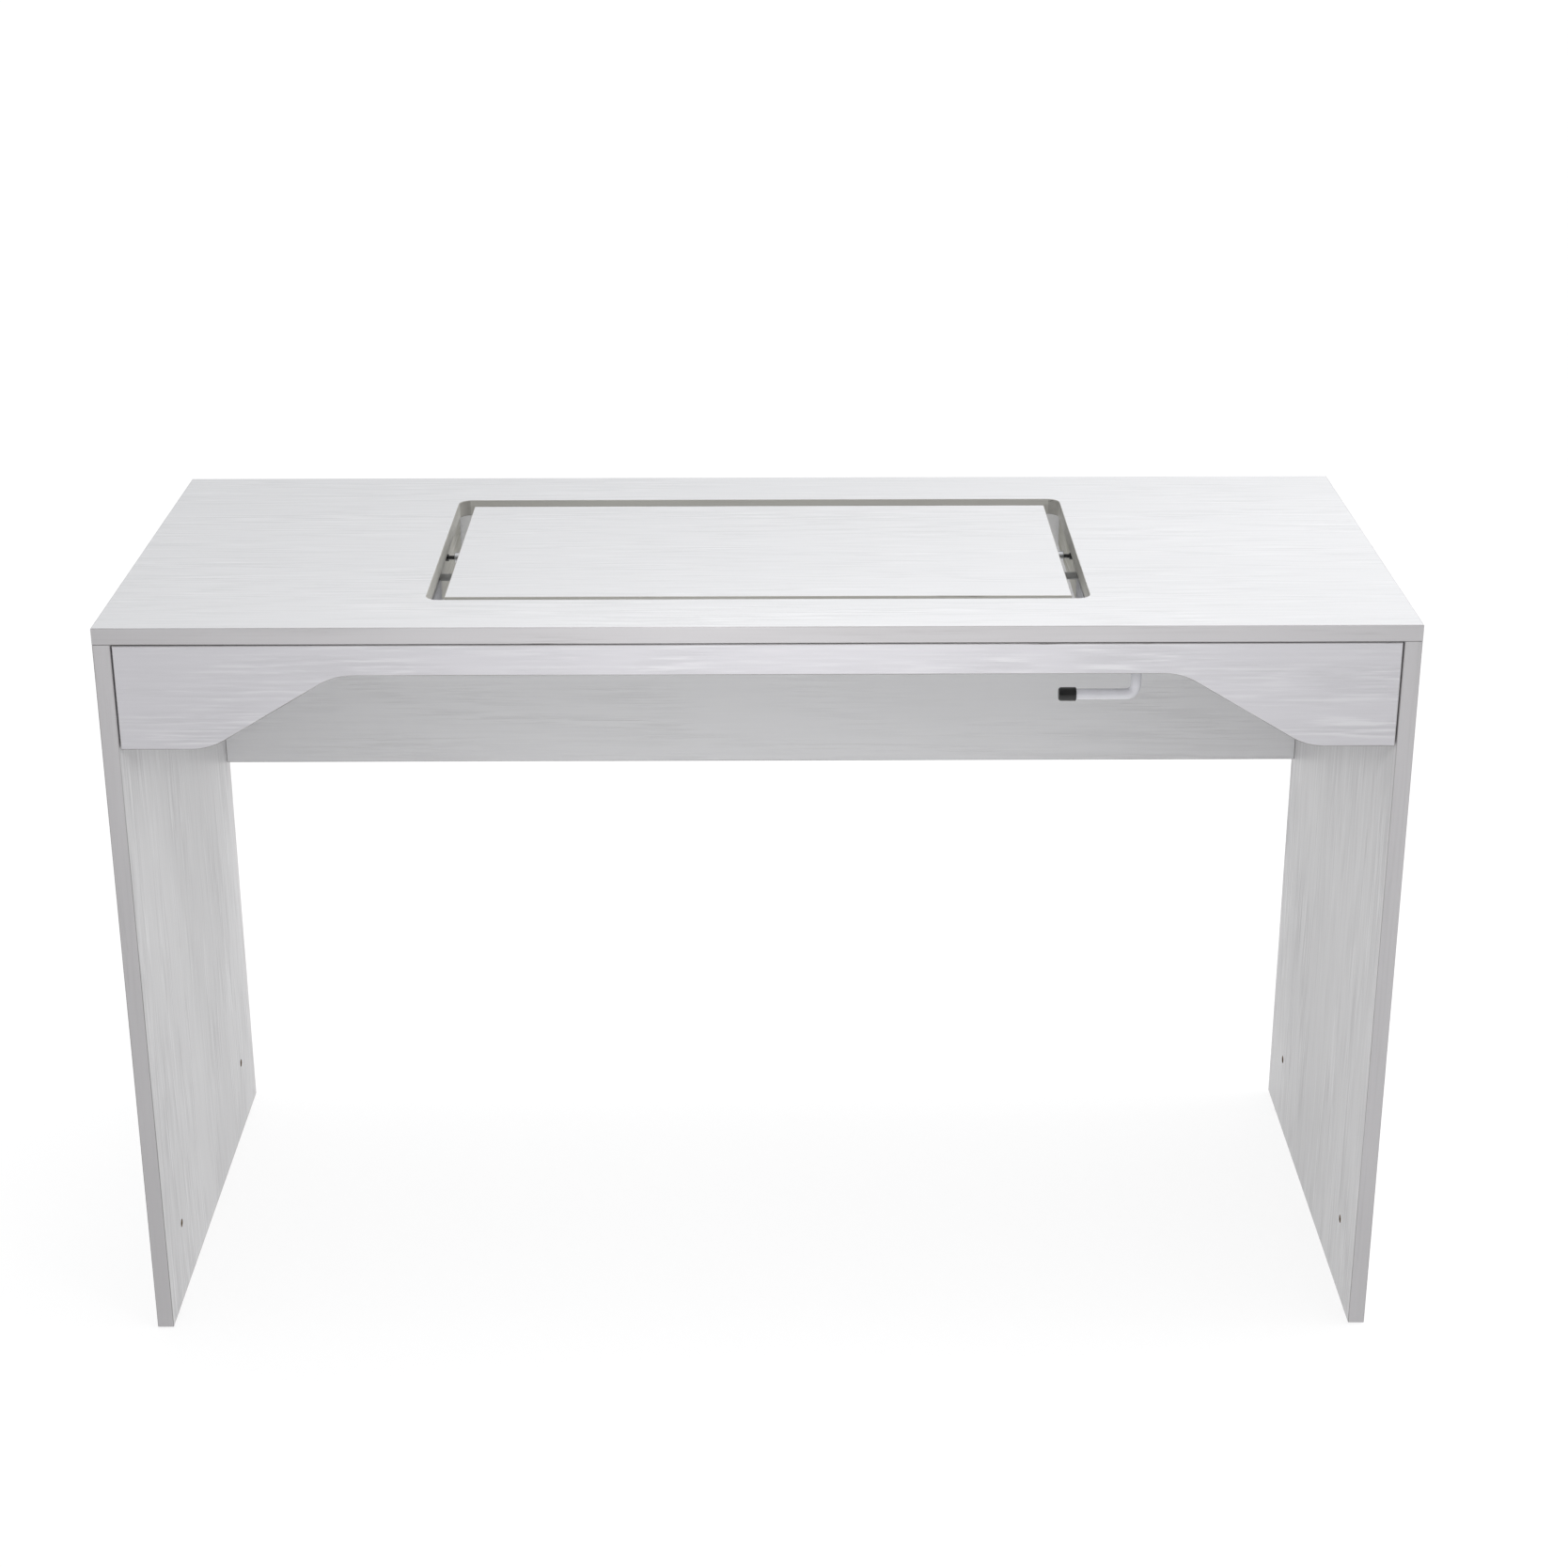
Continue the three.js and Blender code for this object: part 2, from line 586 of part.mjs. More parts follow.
// The brake shaft is the front right pivot. It turns with the arms and carries the sector.
function addBrake(parent) {
  const hubOpening = 0.5;
  const start = SECTOR_START - ARM_REST_ANGLE;
  const end = SECTOR_END - ARM_REST_ANGLE;
  const outline = new THREE.Shape();
  outline.absarc(0, 0, SECTOR_RADIUS, start, end);
  outline.absarc(0, 0, SECTOR_HUB_RADIUS, end + hubOpening, start - hubOpening + 2 * Math.PI);
  outline.holes.push(roundHole(0, 0, M8.bore));
  const outerX = SECTOR_INNER + SECTOR_THICKNESS;
  addPiece(parent, "brake_sector", plateAlongX(outline, [SECTOR_INNER, outerX], 8), "steel");
  addPivotBolt(parent, 1, 0, 0, outerX + GAP, "brake_shaft", "brake_shaft_nut", "steel");
}

// The platform board, and an angle under each end that hangs on both cross shafts.
function addPlatform(parent) {
  const board = block(
    [-PLATFORM_HALF, PLATFORM_HALF],
    [PLATFORM_FRONT, PLATFORM_BACK],
    [PLATFORM_UNDERSIDE, PLATFORM_UNDERSIDE + BOARD],
  );
  addPiece(parent, "lift_platform", board, "melamine");

  const angle = PLATFORM_ANGLE;
  const frontShaftY = FRONT_PIVOT_Y + ARM_REACH;
  const rearShaftY = REAR_PIVOT_Y + ARM_REACH;
  const span = [frontShaftY - angle.overhang, rearShaftY + angle.overhang];
  for (const [side, sign] of SIDES) {
    const level = block(
      across(sign, PLATFORM_HALF - angle.flange, PLATFORM_HALF),
      span,
      [PLATFORM_UNDERSIDE - angle.thickness, PLATFORM_UNDERSIDE],
    );
    const upright = block(
      across(sign, PLATFORM_HALF - angle.thickness, PLATFORM_HALF),
      span,
      [ARM_TIP_Z - angle.drop, PLATFORM_UNDERSIDE],
    );
    const bores = [frontShaftY, rearShaftY].map((y) =>
      cylinder(
        SHAFT_RADIUS + 2 * GAP,
        angle.thickness + 2,
        [sign * (PLATFORM_HALF + 1), y, ARM_TIP_Z],
        inward(sign),
      ),
    );
    addPiece(parent, `platform_bracket_${side}`, cut(join(level, upright), ...bores), "zinc");
  }
}

// A pillow block: round below the rod, with a flat foot under the top.
function addLeverBearings(parent) {
  const xs = [LEVER_X - BEARING_HALF, LEVER_X + BEARING_HALF];
  for (const [end, [y0, y1]] of Object.entries(BEARING_YS)) {
    const outline = new THREE.Shape();
    outline.moveTo(xs[0], TOP_UNDERSIDE);
    outline.absarc(LEVER_X, LEVER_Z, BEARING_HALF, Math.PI, 2 * Math.PI);
    outline.lineTo(xs[1], TOP_UNDERSIDE);
    outline.holes.push(roundHole(LEVER_X, LEVER_Z, ROD_RADIUS + GAP));
    const foot = block(
      xs,
      [y0 - BEARING_FOOT.overhang, y1 + BEARING_FOOT.overhang],
      [TOP_UNDERSIDE - BEARING_FOOT.thickness, TOP_UNDERSIDE],
    );
    const bearing = join(plateAlongY(outline, [y0, y1]), foot);
    addPiece(parent, `lever_bearing_${end}`, bearing, "grey_plastic");
  }
}

// The lever's rod: a handle along X, a leg up, and a shaft along Y. The group's origin is on
// the shaft's axis.
function leverPath() {
  const handleZ = HANDLE_Z - LEVER_Z;
  const handleX = HANDLE_END_X - LEVER_X;
  const corners = [
    [handleX, LEVER_FRONT, handleZ],
    [0, LEVER_FRONT, handleZ],
    [0, LEVER_FRONT, 0],
    [0, LEVER_BACK, 0],
  ].map((point) => new THREE.Vector3(...point));
  const path = new THREE.CurvePath();
  let from = corners[0];
  for (const [i, corner] of corners.slice(1, -1).entries()) {
    const before = corner.clone().add(corners[i].clone().sub(corner).setLength(ROD_BEND));
    const after = corner.clone().add(corners[i + 2].clone().sub(corner).setLength(ROD_BEND));
    path.add(new THREE.LineCurve3(from, before));
    path.add(new THREE.QuadraticBezierCurve3(before, corner, after));
    from = after;
  }
  path.add(new THREE.LineCurve3(from, corners.at(-1)));
  return path;
}

function addLever(parent) {
  const section = new THREE.Shape().absarc(0, 0, ROD_RADIUS, 0, 2 * Math.PI);
  const options = { steps: 40, curveSegments: 5, extrudePath: leverPath() };
  const rod = new THREE.ExtrudeGeometry(section, options);
  addPiece(parent, "release_lever", rod, "white_steel");

  const boreDepth = CAP_LENGTH - (HANDLE_END_X - CAP_END_X) + GAP;
  const capProfile = [
    [0, 0],
    [CAP_RADIUS - 1.6, 0],
    [CAP_RADIUS, 1.6],
    [CAP_RADIUS, CAP_LENGTH],
    [ROD_RADIUS + GAP, CAP_LENGTH],
    [ROD_RADIUS + GAP, CAP_LENGTH - boreDepth],
    [0, CAP_LENGTH - boreDepth],
  ];
  const capPlace = [CAP_END_X - LEVER_X, LEVER_FRONT, HANDLE_Z - LEVER_Z];
  addPiece(parent, "lever_cap", turned(capProfile, capPlace, ALONG_X), "rubber");

  const shoeBlock = block(
    [SHOE.innerX - LEVER_X, SECTOR_INNER - LEVER_X - GAP],
    SHOE.ys,
    [SHOE.bottomZ - LEVER_Z, -ROD_RADIUS - GAP],
  );
  addPiece(parent, "brake_shoe", shoeBlock, "grey_plastic");

  const [springStart, springEnd] = SPRING_YS;
  const inner = ROD_RADIUS + GAP;
  const length = springEnd - springStart;
  const spring = ring(inner, inner + SPRING_THICKNESS, length, [0, springStart, 0], ALONG_Y);
  addPiece(parent, "lever_spring", spring, "steel");
}

const table = new THREE.Group();
const carcass = addGroup(table, 0, -DEPTH / 2, 0);

addTableTop(carcass);
addSidePanels(carcass);
addBackPanel(carcass);
addFrontApron(carcass);
addRails(carcass);
addGlides(carcass);
addSidePlates(carcass);
addUpStops(carcass);
addFixedPivots(carcass);
addLeverBearings(carcass);

const frontArms = addGroup(carcass, 0, FRONT_PIVOT_Y, ARM_PIVOT_Z);
frontArms.rotation.x = ARM_REST_ANGLE;
addArmPair(frontArms, "front", M8, ARM_OUTER + GAP + M8.headHeight);
addBrake(frontArms);

const rearArms = addGroup(carcass, 0, REAR_PIVOT_Y, ARM_PIVOT_Z);
rearArms.rotation.x = ARM_REST_ANGLE;
addArmPair(rearArms, "rear", M4, REAR_BOLT_HEAD_X);

addPlatform(addGroup(carcass, 0, 0, 0));
addLever(addGroup(carcass, LEVER_X, 0, LEVER_Z));

export default table;
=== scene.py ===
"""The looks of the sewing table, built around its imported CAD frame. Metres, +Z up."""

import json
import math
from itertools import product

import bmesh
import bpy
from mathutils import Matrix, Quaternion, Vector


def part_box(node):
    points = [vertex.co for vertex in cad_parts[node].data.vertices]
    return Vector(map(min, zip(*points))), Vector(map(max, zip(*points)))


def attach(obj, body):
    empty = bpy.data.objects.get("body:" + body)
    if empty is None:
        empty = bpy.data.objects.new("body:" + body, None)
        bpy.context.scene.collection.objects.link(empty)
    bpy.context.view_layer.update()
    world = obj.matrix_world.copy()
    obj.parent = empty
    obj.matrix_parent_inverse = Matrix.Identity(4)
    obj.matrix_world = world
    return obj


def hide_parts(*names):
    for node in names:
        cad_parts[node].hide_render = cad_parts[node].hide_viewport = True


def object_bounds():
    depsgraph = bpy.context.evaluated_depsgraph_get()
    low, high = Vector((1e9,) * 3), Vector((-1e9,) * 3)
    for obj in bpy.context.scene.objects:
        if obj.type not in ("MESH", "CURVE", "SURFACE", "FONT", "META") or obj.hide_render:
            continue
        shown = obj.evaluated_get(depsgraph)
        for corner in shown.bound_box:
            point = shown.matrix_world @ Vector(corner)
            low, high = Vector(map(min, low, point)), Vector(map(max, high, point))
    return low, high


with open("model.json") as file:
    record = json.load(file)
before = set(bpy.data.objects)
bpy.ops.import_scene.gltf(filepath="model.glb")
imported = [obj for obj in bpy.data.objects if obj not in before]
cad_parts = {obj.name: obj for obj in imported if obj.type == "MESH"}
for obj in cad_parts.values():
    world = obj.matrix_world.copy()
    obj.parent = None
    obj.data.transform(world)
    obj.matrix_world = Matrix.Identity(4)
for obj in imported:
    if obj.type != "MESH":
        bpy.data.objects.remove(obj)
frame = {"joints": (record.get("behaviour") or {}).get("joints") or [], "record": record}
cad_low, cad_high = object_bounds()

MM = 0.001
SCENE = bpy.context.scene
RECORD = frame["record"]
BODY_OF = {node: body for body, nodes in RECORD["behaviour"]["bodies"].items() for node in nodes}
SLOT_OF = {part["node"]: part["material_slot"] for part in RECORD["subparts"]}
SIDES = {"left": -1, "right": 1}
ENDS = ("front", "rear")
FORWARD = Vector((0, -1, 0))

# Boards.
BOARD_ARRIS = 0.7 * MM
CUTOUT_HALF = 308 * MM
CUTOUT_FRONT = 80 * MM
CUTOUT_BACK = 406 * MM
CUTOUT_CORNER = 12 * MM
ARCH_FLAT_HALF = 367 * MM
ARCH_MIDDLE_HEIGHT = 29 * MM
ARCH_SLOPE = math.radians(31)
ARCH_BEND_RADIUS = 60 * MM
BORE_CLEARANCE = 0.3 * MM
SPARE_HOLE_RADIUS = 4.2 * MM
SPARE_HOLE_DEPTH = 11 * MM
SPARE_HOLE_HEIGHT = 78.5 * MM
SPARE_HOLE_DISTANCES = (72 * MM, 419 * MM)

# Lift.
# A bolt's size is its head's radius, its head's height and its shank's radius.
M8_SIZE = (6.5 * MM, 2.2 * MM, 4 * MM)
M8_BORE = 4.35 * MM
M8_NUT = 7.2 * MM
M8_POINT = 0.8 * MM
M4_SIZE = (3.5 * MM, 3.6 * MM, 2 * MM)
M4_BORE = 2.3 * MM
M4_POINT = 0.5 * MM
RAIL_NOTCH_BACK = 255 * MM
RAIL_NOTCH_DEPTH = 15 * MM
PLATE_THICKNESS = 2.7 * MM
PLATE_BOTTOM = 652.5 * MM
PLATE_BACK_CORNER = 8 * MM
PLATE_FRONT_CORNER = 6 * MM
PLATE_EAR_RADIUS = 9 * MM
PLATE_EAR_DEGREES = (-126, -17)
PLATE_EAR_AHEAD = 26 * MM
PLATE_EAR_ABOVE = 18 * MM
PLATE_SCREW_HEIGHT = 688 * MM
PLATE_SCREW_DISTANCES = (125 * MM, 165 * MM, 205 * MM)
BUSH_RADIUS = 8 * MM
BUSH_FLARE = ((1.2 * MM, 0), (0.4 * MM, 0.7 * MM), (0, 1.8 * MM))
DOWN_STOP_ALONG = 24 * MM
DOWN_STOP_RADIUS = 4 * MM
DOWN_STOP_FLARE = ((1.4 * MM, 0), (0.4 * MM, 0.9 * MM), (0, 1.6 * MM))
ARM_HALF_WIDTH = 12 * MM
ARM_THICKNESS = 4 * MM
ARM_BOSS_RADIUS = 5 * MM
ARM_BOSS_FLARE = ((0.9 * MM, 0), (0.3 * MM, 0.5 * MM), (0, 1.2 * MM))
ARM_LOW_ANGLE = math.radians(-35.3)
SHAFT_RADIUS = 6 * MM
SHAFT_BOLT_DEPTH = 14 * MM
SHAFT_BORE = 6.6 * MM
STEEL_ARRIS = 0.35 * MM
GAP = 0.3 * MM


def joint_place(name):
    return Vector(next(joint["pos_m"] for joint in frame["joints"] if joint["name"] == name))


FRONT_PIVOT = joint_place("front_arm_swing")
REAR_PIVOT = joint_place("rear_arm_swing")
FRONT_TIP = joint_place("platform_level")
LEVER_AXIS = joint_place("lever_turn")
ARM = FRONT_TIP - FRONT_PIVOT
ARM_ANGLE = math.atan2(ARM.z, ARM.y)
REAR_TIP = REAR_PIVOT + ARM
FRONT_EDGE = cad_low.y


def add_object(name, data):
    thing = bpy.data.objects.new(name, data)
    SCENE.collection.objects.link(thing)
    return thing


# Camera.

CAMERA_PLACE = (0.014, -2.679, 1.5634)
CAMERA_PITCH = math.radians(-21.94)
CAMERA_YAW = math.radians(0.22)
CAMERA_ROLL = math.radians(-0.09)
SENSOR_WIDTH = 36
LENS = 65.54


def add_camera():
    data = bpy.data.cameras.new("camera")
    data.sensor_width = SENSOR_WIDTH
    data.lens = LENS
    camera = add_object("camera", data)
    forward = Vector((
        math.sin(CAMERA_YAW) * math.cos(CAMERA_PITCH),
        math.cos(CAMERA_YAW) * math.cos(CAMERA_PITCH),
        math.sin(CAMERA_PITCH),
    ))
    camera.rotation_mode = "QUATERNION"
    aim = forward.to_track_quat("-Z", "Y")
    camera.rotation_quaternion = aim @ Quaternion((0, 0, 1), CAMERA_ROLL)
    camera.location = CAMERA_PLACE
    SCENE.camera = camera


add_camera()


# Node helpers.

def new_material(name):
    material = bpy.data.materials.new(name)
    material.use_nodes = True
    tree = material.node_tree
    tree.nodes.clear()
    shader = tree.nodes.new("ShaderNodeBsdfPrincipled")
    output = tree.nodes.new("ShaderNodeOutputMaterial")
    tree.links.new(shader.outputs["BSDF"], output.inputs["Surface"])
    return material, tree, shader


def feed(tree, socket, value):
    """Sets a socket to a value, or links it when the value is another node's output."""
    if isinstance(value, bpy.types.NodeSocket):
        tree.links.new(value, socket)
    else:
        socket.default_value = value


def calc(tree, operation, *values):
    node = tree.nodes.new("ShaderNodeMath")
    node.operation = operation
    for socket, value in zip(node.inputs, values):
        feed(tree, socket, value)
    return node.outputs["Value"]


def remap(tree, value, from_low, from_high, to_low=0.0, to_high=1.0):
    node = tree.nodes.new("ShaderNodeMapRange")
    node.interpolation_type = "SMOOTHSTEP"
    names = ("Value", "From Min", "From Max", "To Min", "To Max")
    for name, setting in zip(names, (value, from_low, from_high, to_low, to_high)):
        feed(tree, node.inputs[name], setting)
    return node.outputs["Result"]


def mix_colors(tree, share, first, second):
    node = tree.nodes.new("ShaderNodeMix")
    node.data_type = "RGBA"
    feed(tree, node.inputs["Factor"], share)
    feed(tree, node.inputs["A"], first)
    feed(tree, node.inputs["B"], second)
    return node.outputs["Result"]


def places(tree, scale, offset=(0, 0, 0)):
    """Places in the row frame in metres, moved by offset and then scaled."""
    where = tree.nodes.new("ShaderNodeTexCoord").outputs["Object"]
    for operation, value in (("ADD", offset), ("MULTIPLY", scale)):
        node = tree.nodes.new("ShaderNodeVectorMath")
        node.operation = operation
        tree.links.new(where, node.inputs[0])
        node.inputs[1].default_value = value
        where = node.outputs["Vector"]
    return where


def noise(tree, where, detail=2.0, roughness=0.5, distortion=0.0):
    node = tree.nodes.new("ShaderNodeTexNoise")
    settings = {"Scale": 1.0, "Detail": detail, "Roughness": roughness, "Distortion": distortion}
    for name, value in settings.items():
        node.inputs[name].default_value = value
    tree.links.new(where, node.inputs["Vector"])
    return node.outputs["Fac"]


def cells(tree, scale):
    node = tree.nodes.new("ShaderNodeTexVoronoi")
    node.inputs["Scale"].default_value = 1.0
    tree.links.new(places(tree, scale), node.inputs["Vector"])
    return node.outputs


def bump(tree, shader, height, distance):
    node = tree.nodes.new("ShaderNodeBump")
    node.inputs["Distance"].default_value = distance
    node.inputs["Strength"].default_value = 1.0
    tree.links.new(height, node.inputs["Height"])
    tree.links.new(node.outputs["Normal"], shader.inputs["Normal"])


def paint(tree, shader, tone, rough, metallic=0.0):
    feed(tree, shader.inputs["Base Color"], tone)
    feed(tree, shader.inputs["Roughness"], rough)
    shader.inputs["Metallic"].default_value = metallic


def true_normal(tree):
    geometry = tree.nodes.new("ShaderNodeNewGeometry")
    parts = tree.nodes.new("ShaderNodeSeparateXYZ")
    tree.links.new(geometry.outputs["True Normal"], parts.inputs[0])
    return parts.outputs


# Materials.

AXIS_NUMBER = {"x": 0, "y": 1, "z": 2}
MELAMINE_WHITE = (0.712, 0.713, 0.722, 1.0)
MELAMINE_GREY = (0.560, 0.562, 0.568, 1.0)
# Copies of the white facing: darker for the apron, side panels and rails as painted shade, lighter for the
# back panel as painted light. The rails' copy is also tinted olive as painted shade.
APRON_PAINTED_SHADE_TONES = ((0.632, 0.622, 0.652, 1.0), (0.500, 0.492, 0.515, 1.0))
PANEL_PAINTED_SHADE_TONES = ((0.605, 0.600, 0.606, 1.0), (0.490, 0.484, 0.490, 1.0))
BACK_PAINTED_LIGHT_TONES = ((0.790, 0.790, 0.800, 1.0), (0.660, 0.660, 0.668, 1.0))
RAIL_PAINTED_SHADE_TONES = ((0.450, 0.440, 0.375, 1.0), (0.350, 0.340, 0.280, 1.0))
BAND_WHITE = (0.560, 0.548, 0.560, 1.0)
BAND_GREY = (0.450, 0.439, 0.446, 1.0)
# Darker olive-grey band for the cutout's walls and the platform's rim: painted shade of the narrow gap.
CUT_PAINTED_SHADE_WHITE = (0.500, 0.493, 0.462, 1.0)
CUT_PAINTED_SHADE_GREY = (0.390, 0.383, 0.352, 1.0)
# Dark tone of the scuffs and the glue line, and of the painted shade on arrises that face downward.
SCUFF_AND_SHADE = (0.125, 0.115, 0.105, 1.0)
# Painted highlight: the ridges between the pores are lightened towards this colour.
RIDGE_PAINTED_HIGHLIGHT = (0.80, 0.80, 0.81, 1.0)
RIDGE_HIGHLIGHT_LIFT = 0.42
STREAK_DEPTH = 0.40
PORE_RELIEF = 0.20 * MM


def grained(tree, axis, offset, along, across, *settings):
    """Noise stretched along a board's grain."""
    scale = [across] * 3
    scale[AXIS_NUMBER[axis]] = along
    return noise(tree, places(tree, scale, offset), *settings)


def speckled(tree, size, *settings):
    """Noise that is alike in all directions."""
    return noise(tree, places(tree, (size,) * 3), *settings)


def melamine(name, axis, offset, white=MELAMINE_WHITE, dull=MELAMINE_GREY):
    """White board facing with the embossed pores of ash, running along axis, and the ridges between the pores
    lightened as a painted highlight.
    """
    material, tree, shader = new_material(name)
    slow = grained(tree, axis, offset, 1.1, 9.0, 2.0, 0.45, 0.3)
    rings = calc(tree, "PINGPONG", calc(tree, "MULTIPLY", slow, 26.0), 1.0)
    pores = grained(tree, axis, offset, 13.0, 300.0, 3.0, 0.55)
    fine = grained(tree, axis, offset, 30.0, 1500.0, 2.0, 0.6)
    clouds = grained(tree, axis, offset, 1.6, 6.0, 3.0, 0.55)
    fade = grained(tree, axis, offset, 4.0, 12.0, 2.0, 0.5)
    faded = remap(tree, fade, 0.3, 0.6, 0.35, 1.0)
    porous = calc(tree, "MULTIPLY", remap(tree, rings, 0.10, 0.90, 0.30, 1.0), faded)
    streaks = calc(tree, "MULTIPLY", remap(tree, pores, 0.44, 0.62), porous)
    tone = mix_colors(tree, remap(tree, clouds, 0.25, 0.75, 0.0, 0.26), white, dull)
    tone = mix_colors(tree, calc(tree, "MULTIPLY", streaks, STREAK_DEPTH), tone, dull)
    # Painted highlight: the ridges between the pores are lightened in the base colour.
    ridge_highlights = calc(tree, "MULTIPLY", remap(tree, pores, 0.36, 0.47, RIDGE_HIGHLIGHT_LIFT, 0.0), porous)
    tone = mix_colors(tree, ridge_highlights, tone, RIDGE_PAINTED_HIGHLIGHT)
    rough = calc(tree, "MULTIPLY_ADD", streaks, 0.16, remap(tree, clouds, 0.2, 0.8, 0.31, 0.42))
    paint(tree, shader, tone, rough)
    shader.inputs["Specular IOR Level"].default_value = 0.5
    height = calc(tree, "MULTIPLY_ADD", fine, 0.10, calc(tree, "SUBTRACT", 1.0, streaks))
    bump(tree, shader, height, PORE_RELIEF)
    return material


def edge_band(name, axis, offset, white=BAND_WHITE, dull=BAND_GREY):
    """Banding on a board's edge: duller than the facing, with scuffs and a dark line where the band is glued
    on, darkened further on arrises that face downward as painted shade.
    """
    material, tree, shader = new_material(name)
    fibres = grained(tree, axis, offset, 6.0, 330.0, 3.0, 0.6)
    patches = grained(tree, axis, offset, 9.0, 160.0, 3.0, 0.6)
    rubbed = grained(tree, axis, offset, 26.0, 900.0, 2.0, 0.5)
    slow = grained(tree, axis, offset, 3.0, 20.0, 2.0, 0.5)
    normal = true_normal(tree)
    squares = [calc(tree, "MULTIPLY", part, part) for part in (normal["X"], normal["Y"], normal["Z"])]
    largest = calc(tree, "MAXIMUM", calc(tree, "MAXIMUM", squares[0], squares[1]), squares[2])
    arris = remap(tree, largest, 0.93, 0.99, 1.0, 0.0)
    marks = calc(tree, "MULTIPLY", remap(tree, patches, 0.60, 0.70), remap(tree, rubbed, 0.42, 0.60))
    marks = calc(tree, "MULTIPLY", marks, calc(tree, "MULTIPLY_ADD", arris, 0.85, 0.12))
    # Painted shade: the glue line is darkened more on arrises that face downward.
    below = remap(tree, normal["Z"], -0.45, 0.45, 1.0, 0.25)
    uneven = remap(tree, slow, 0.35, 0.65, 0.40, 0.95)
    glue_line_and_shade = calc(tree, "MULTIPLY", calc(tree, "MULTIPLY", arris, below), uneven)
    tone = mix_colors(tree, remap(tree, slow, 0.30, 0.75, 0.0, 0.55), white, dull)
    tone = mix_colors(tree, remap(tree, fibres, 0.48, 0.75, 0.0, 0.35), tone, dull)
    # Scuffs, and the glue line with its painted shade, are mixed in with the dark tone.
    tone = mix_colors(tree, calc(tree, "MAXIMUM", marks, glue_line_and_shade), tone, SCUFF_AND_SHADE)
    paint(tree, shader, tone, remap(tree, fibres, 0.3, 0.7, 0.42, 0.56))
    bump(tree, shader, calc(tree, "SUBTRACT", 1.0, fibres), 0.10 * MM)
    return material


def chipboard():
    """The boards' core, seen inside the bores."""
    material, tree, shader = new_material("chipboard")
    chips = cells(tree, (700, 700, 1300))
    tone = mix_colors(tree, chips["Color"], (0.17, 0.115, 0.065, 1.0), (0.36, 0.27, 0.17, 1.0))
    paint(tree, shader, tone, 0.9)
    bump(tree, shader, chips["Distance"], 0.5 * MM)
    return material


def plain_steel():
    """Cold-rolled steel: fine rolling lines, dull patches and a few fine scratches."""
    material, tree, shader = new_material("plain_steel")
    lines = noise(tree, places(tree, (2500, 40, 2500)), 3.0, 0.6)
    patches = speckled(tree, 60, 4.0, 0.6)
    scratches = noise(tree, places(tree, (300, 900, 90)), 2.0, 0.5, 1.5)
    tone = mix_colors(tree, remap(tree, patches, 0.3, 0.7), (0.50, 0.51, 0.53, 1.0), (0.66, 0.67, 0.68, 1.0))
    rolled = remap(tree, patches, 0.3, 0.7, 0.26, 0.44)
    rough = calc(tree, "MULTIPLY_ADD", remap(tree, scratches, 0.6, 0.7), 0.12, rolled)
    paint(tree, shader, tone, rough, 1.0)
    bump(tree, shader, lines, 0.02 * MM)
    return material


def zinc_steel():
    """Bright zinc plating with a cloudy bloom."""
    material, tree, shader = new_material("zinc_steel")
    bloom = speckled(tree, 180, 4.0, 0.6, 0.6)
    spangle = cells(tree, (900, 900, 900))
    tone = mix_colors(tree, remap(tree, bloom, 0.3, 0.7), (0.58, 0.60, 0.62, 1.0), (0.78, 0.79, 0.80, 1.0))
    cloudy = remap(tree, bloom, 0.3, 0.7, 0.20, 0.38)
    paint(tree, shader, tone, calc(tree, "MULTIPLY_ADD", spangle["Distance"], 0.08, cloudy), 1.0)
    bump(tree, shader, bloom, 0.03 * MM)
    return material


def dark_steel():
    """Blackened bolt heads."""
    material, tree, shader = new_material("dark_steel")
    patches = speckled(tree, 400, 3.0, 0.6)
    worn = remap(tree, patches, 0.35, 0.7)
    tone = mix_colors(tree, worn, (0.045, 0.046, 0.048, 1.0), (0.13, 0.13, 0.13, 1.0))
    paint(tree, shader, tone, remap(tree, patches, 0.3, 0.7, 0.32, 0.5), 0.9)
    bump(tree, shader, patches, 0.03 * MM)
    return material


def dull_steel():
    """Pressed steel sheet with a dull grey passivated skin."""
    material, tree, shader = new_material("dull_steel")
    skin = speckled(tree, 420, 3.0, 0.6, 0.8)
    patches = speckled(tree, 55, 3.0, 0.6)
    tone = mix_colors(tree, remap(tree, patches, 0.35, 0.7), (0.70, 0.70, 0.73, 1.0), (0.60, 0.60, 0.62, 1.0))
    paint(tree, shader, tone, remap(tree, skin, 0.3, 0.7, 0.42, 0.56), 0.25)
    bump(tree, shader, skin, 0.04 * MM)
    return material


def white_enamel():
    """Glossy paint on the lever's rod, with a slight orange peel."""
    material, tree, shader = new_material("white_enamel")
    peel = speckled(tree, 420, 2.0, 0.5)
    dust = speckled(tree, 60, 3.0, 0.6)
    dusty = remap(tree, dust, 0.4, 0.75, 0.0, 0.35)
    tone = mix_colors(tree, dusty, (0.60, 0.60, 0.635, 1.0), (0.52, 0.52, 0.54, 1.0))
    paint(tree, shader, tone, remap(tree, dust, 0.3, 0.7, 0.12, 0.20))
    shader.inputs["Coat Weight"].default_value = 0.5
    shader.inputs["Coat Roughness"].default_value = 0.12
    bump(tree, shader, peel, 0.04 * MM)
    return material


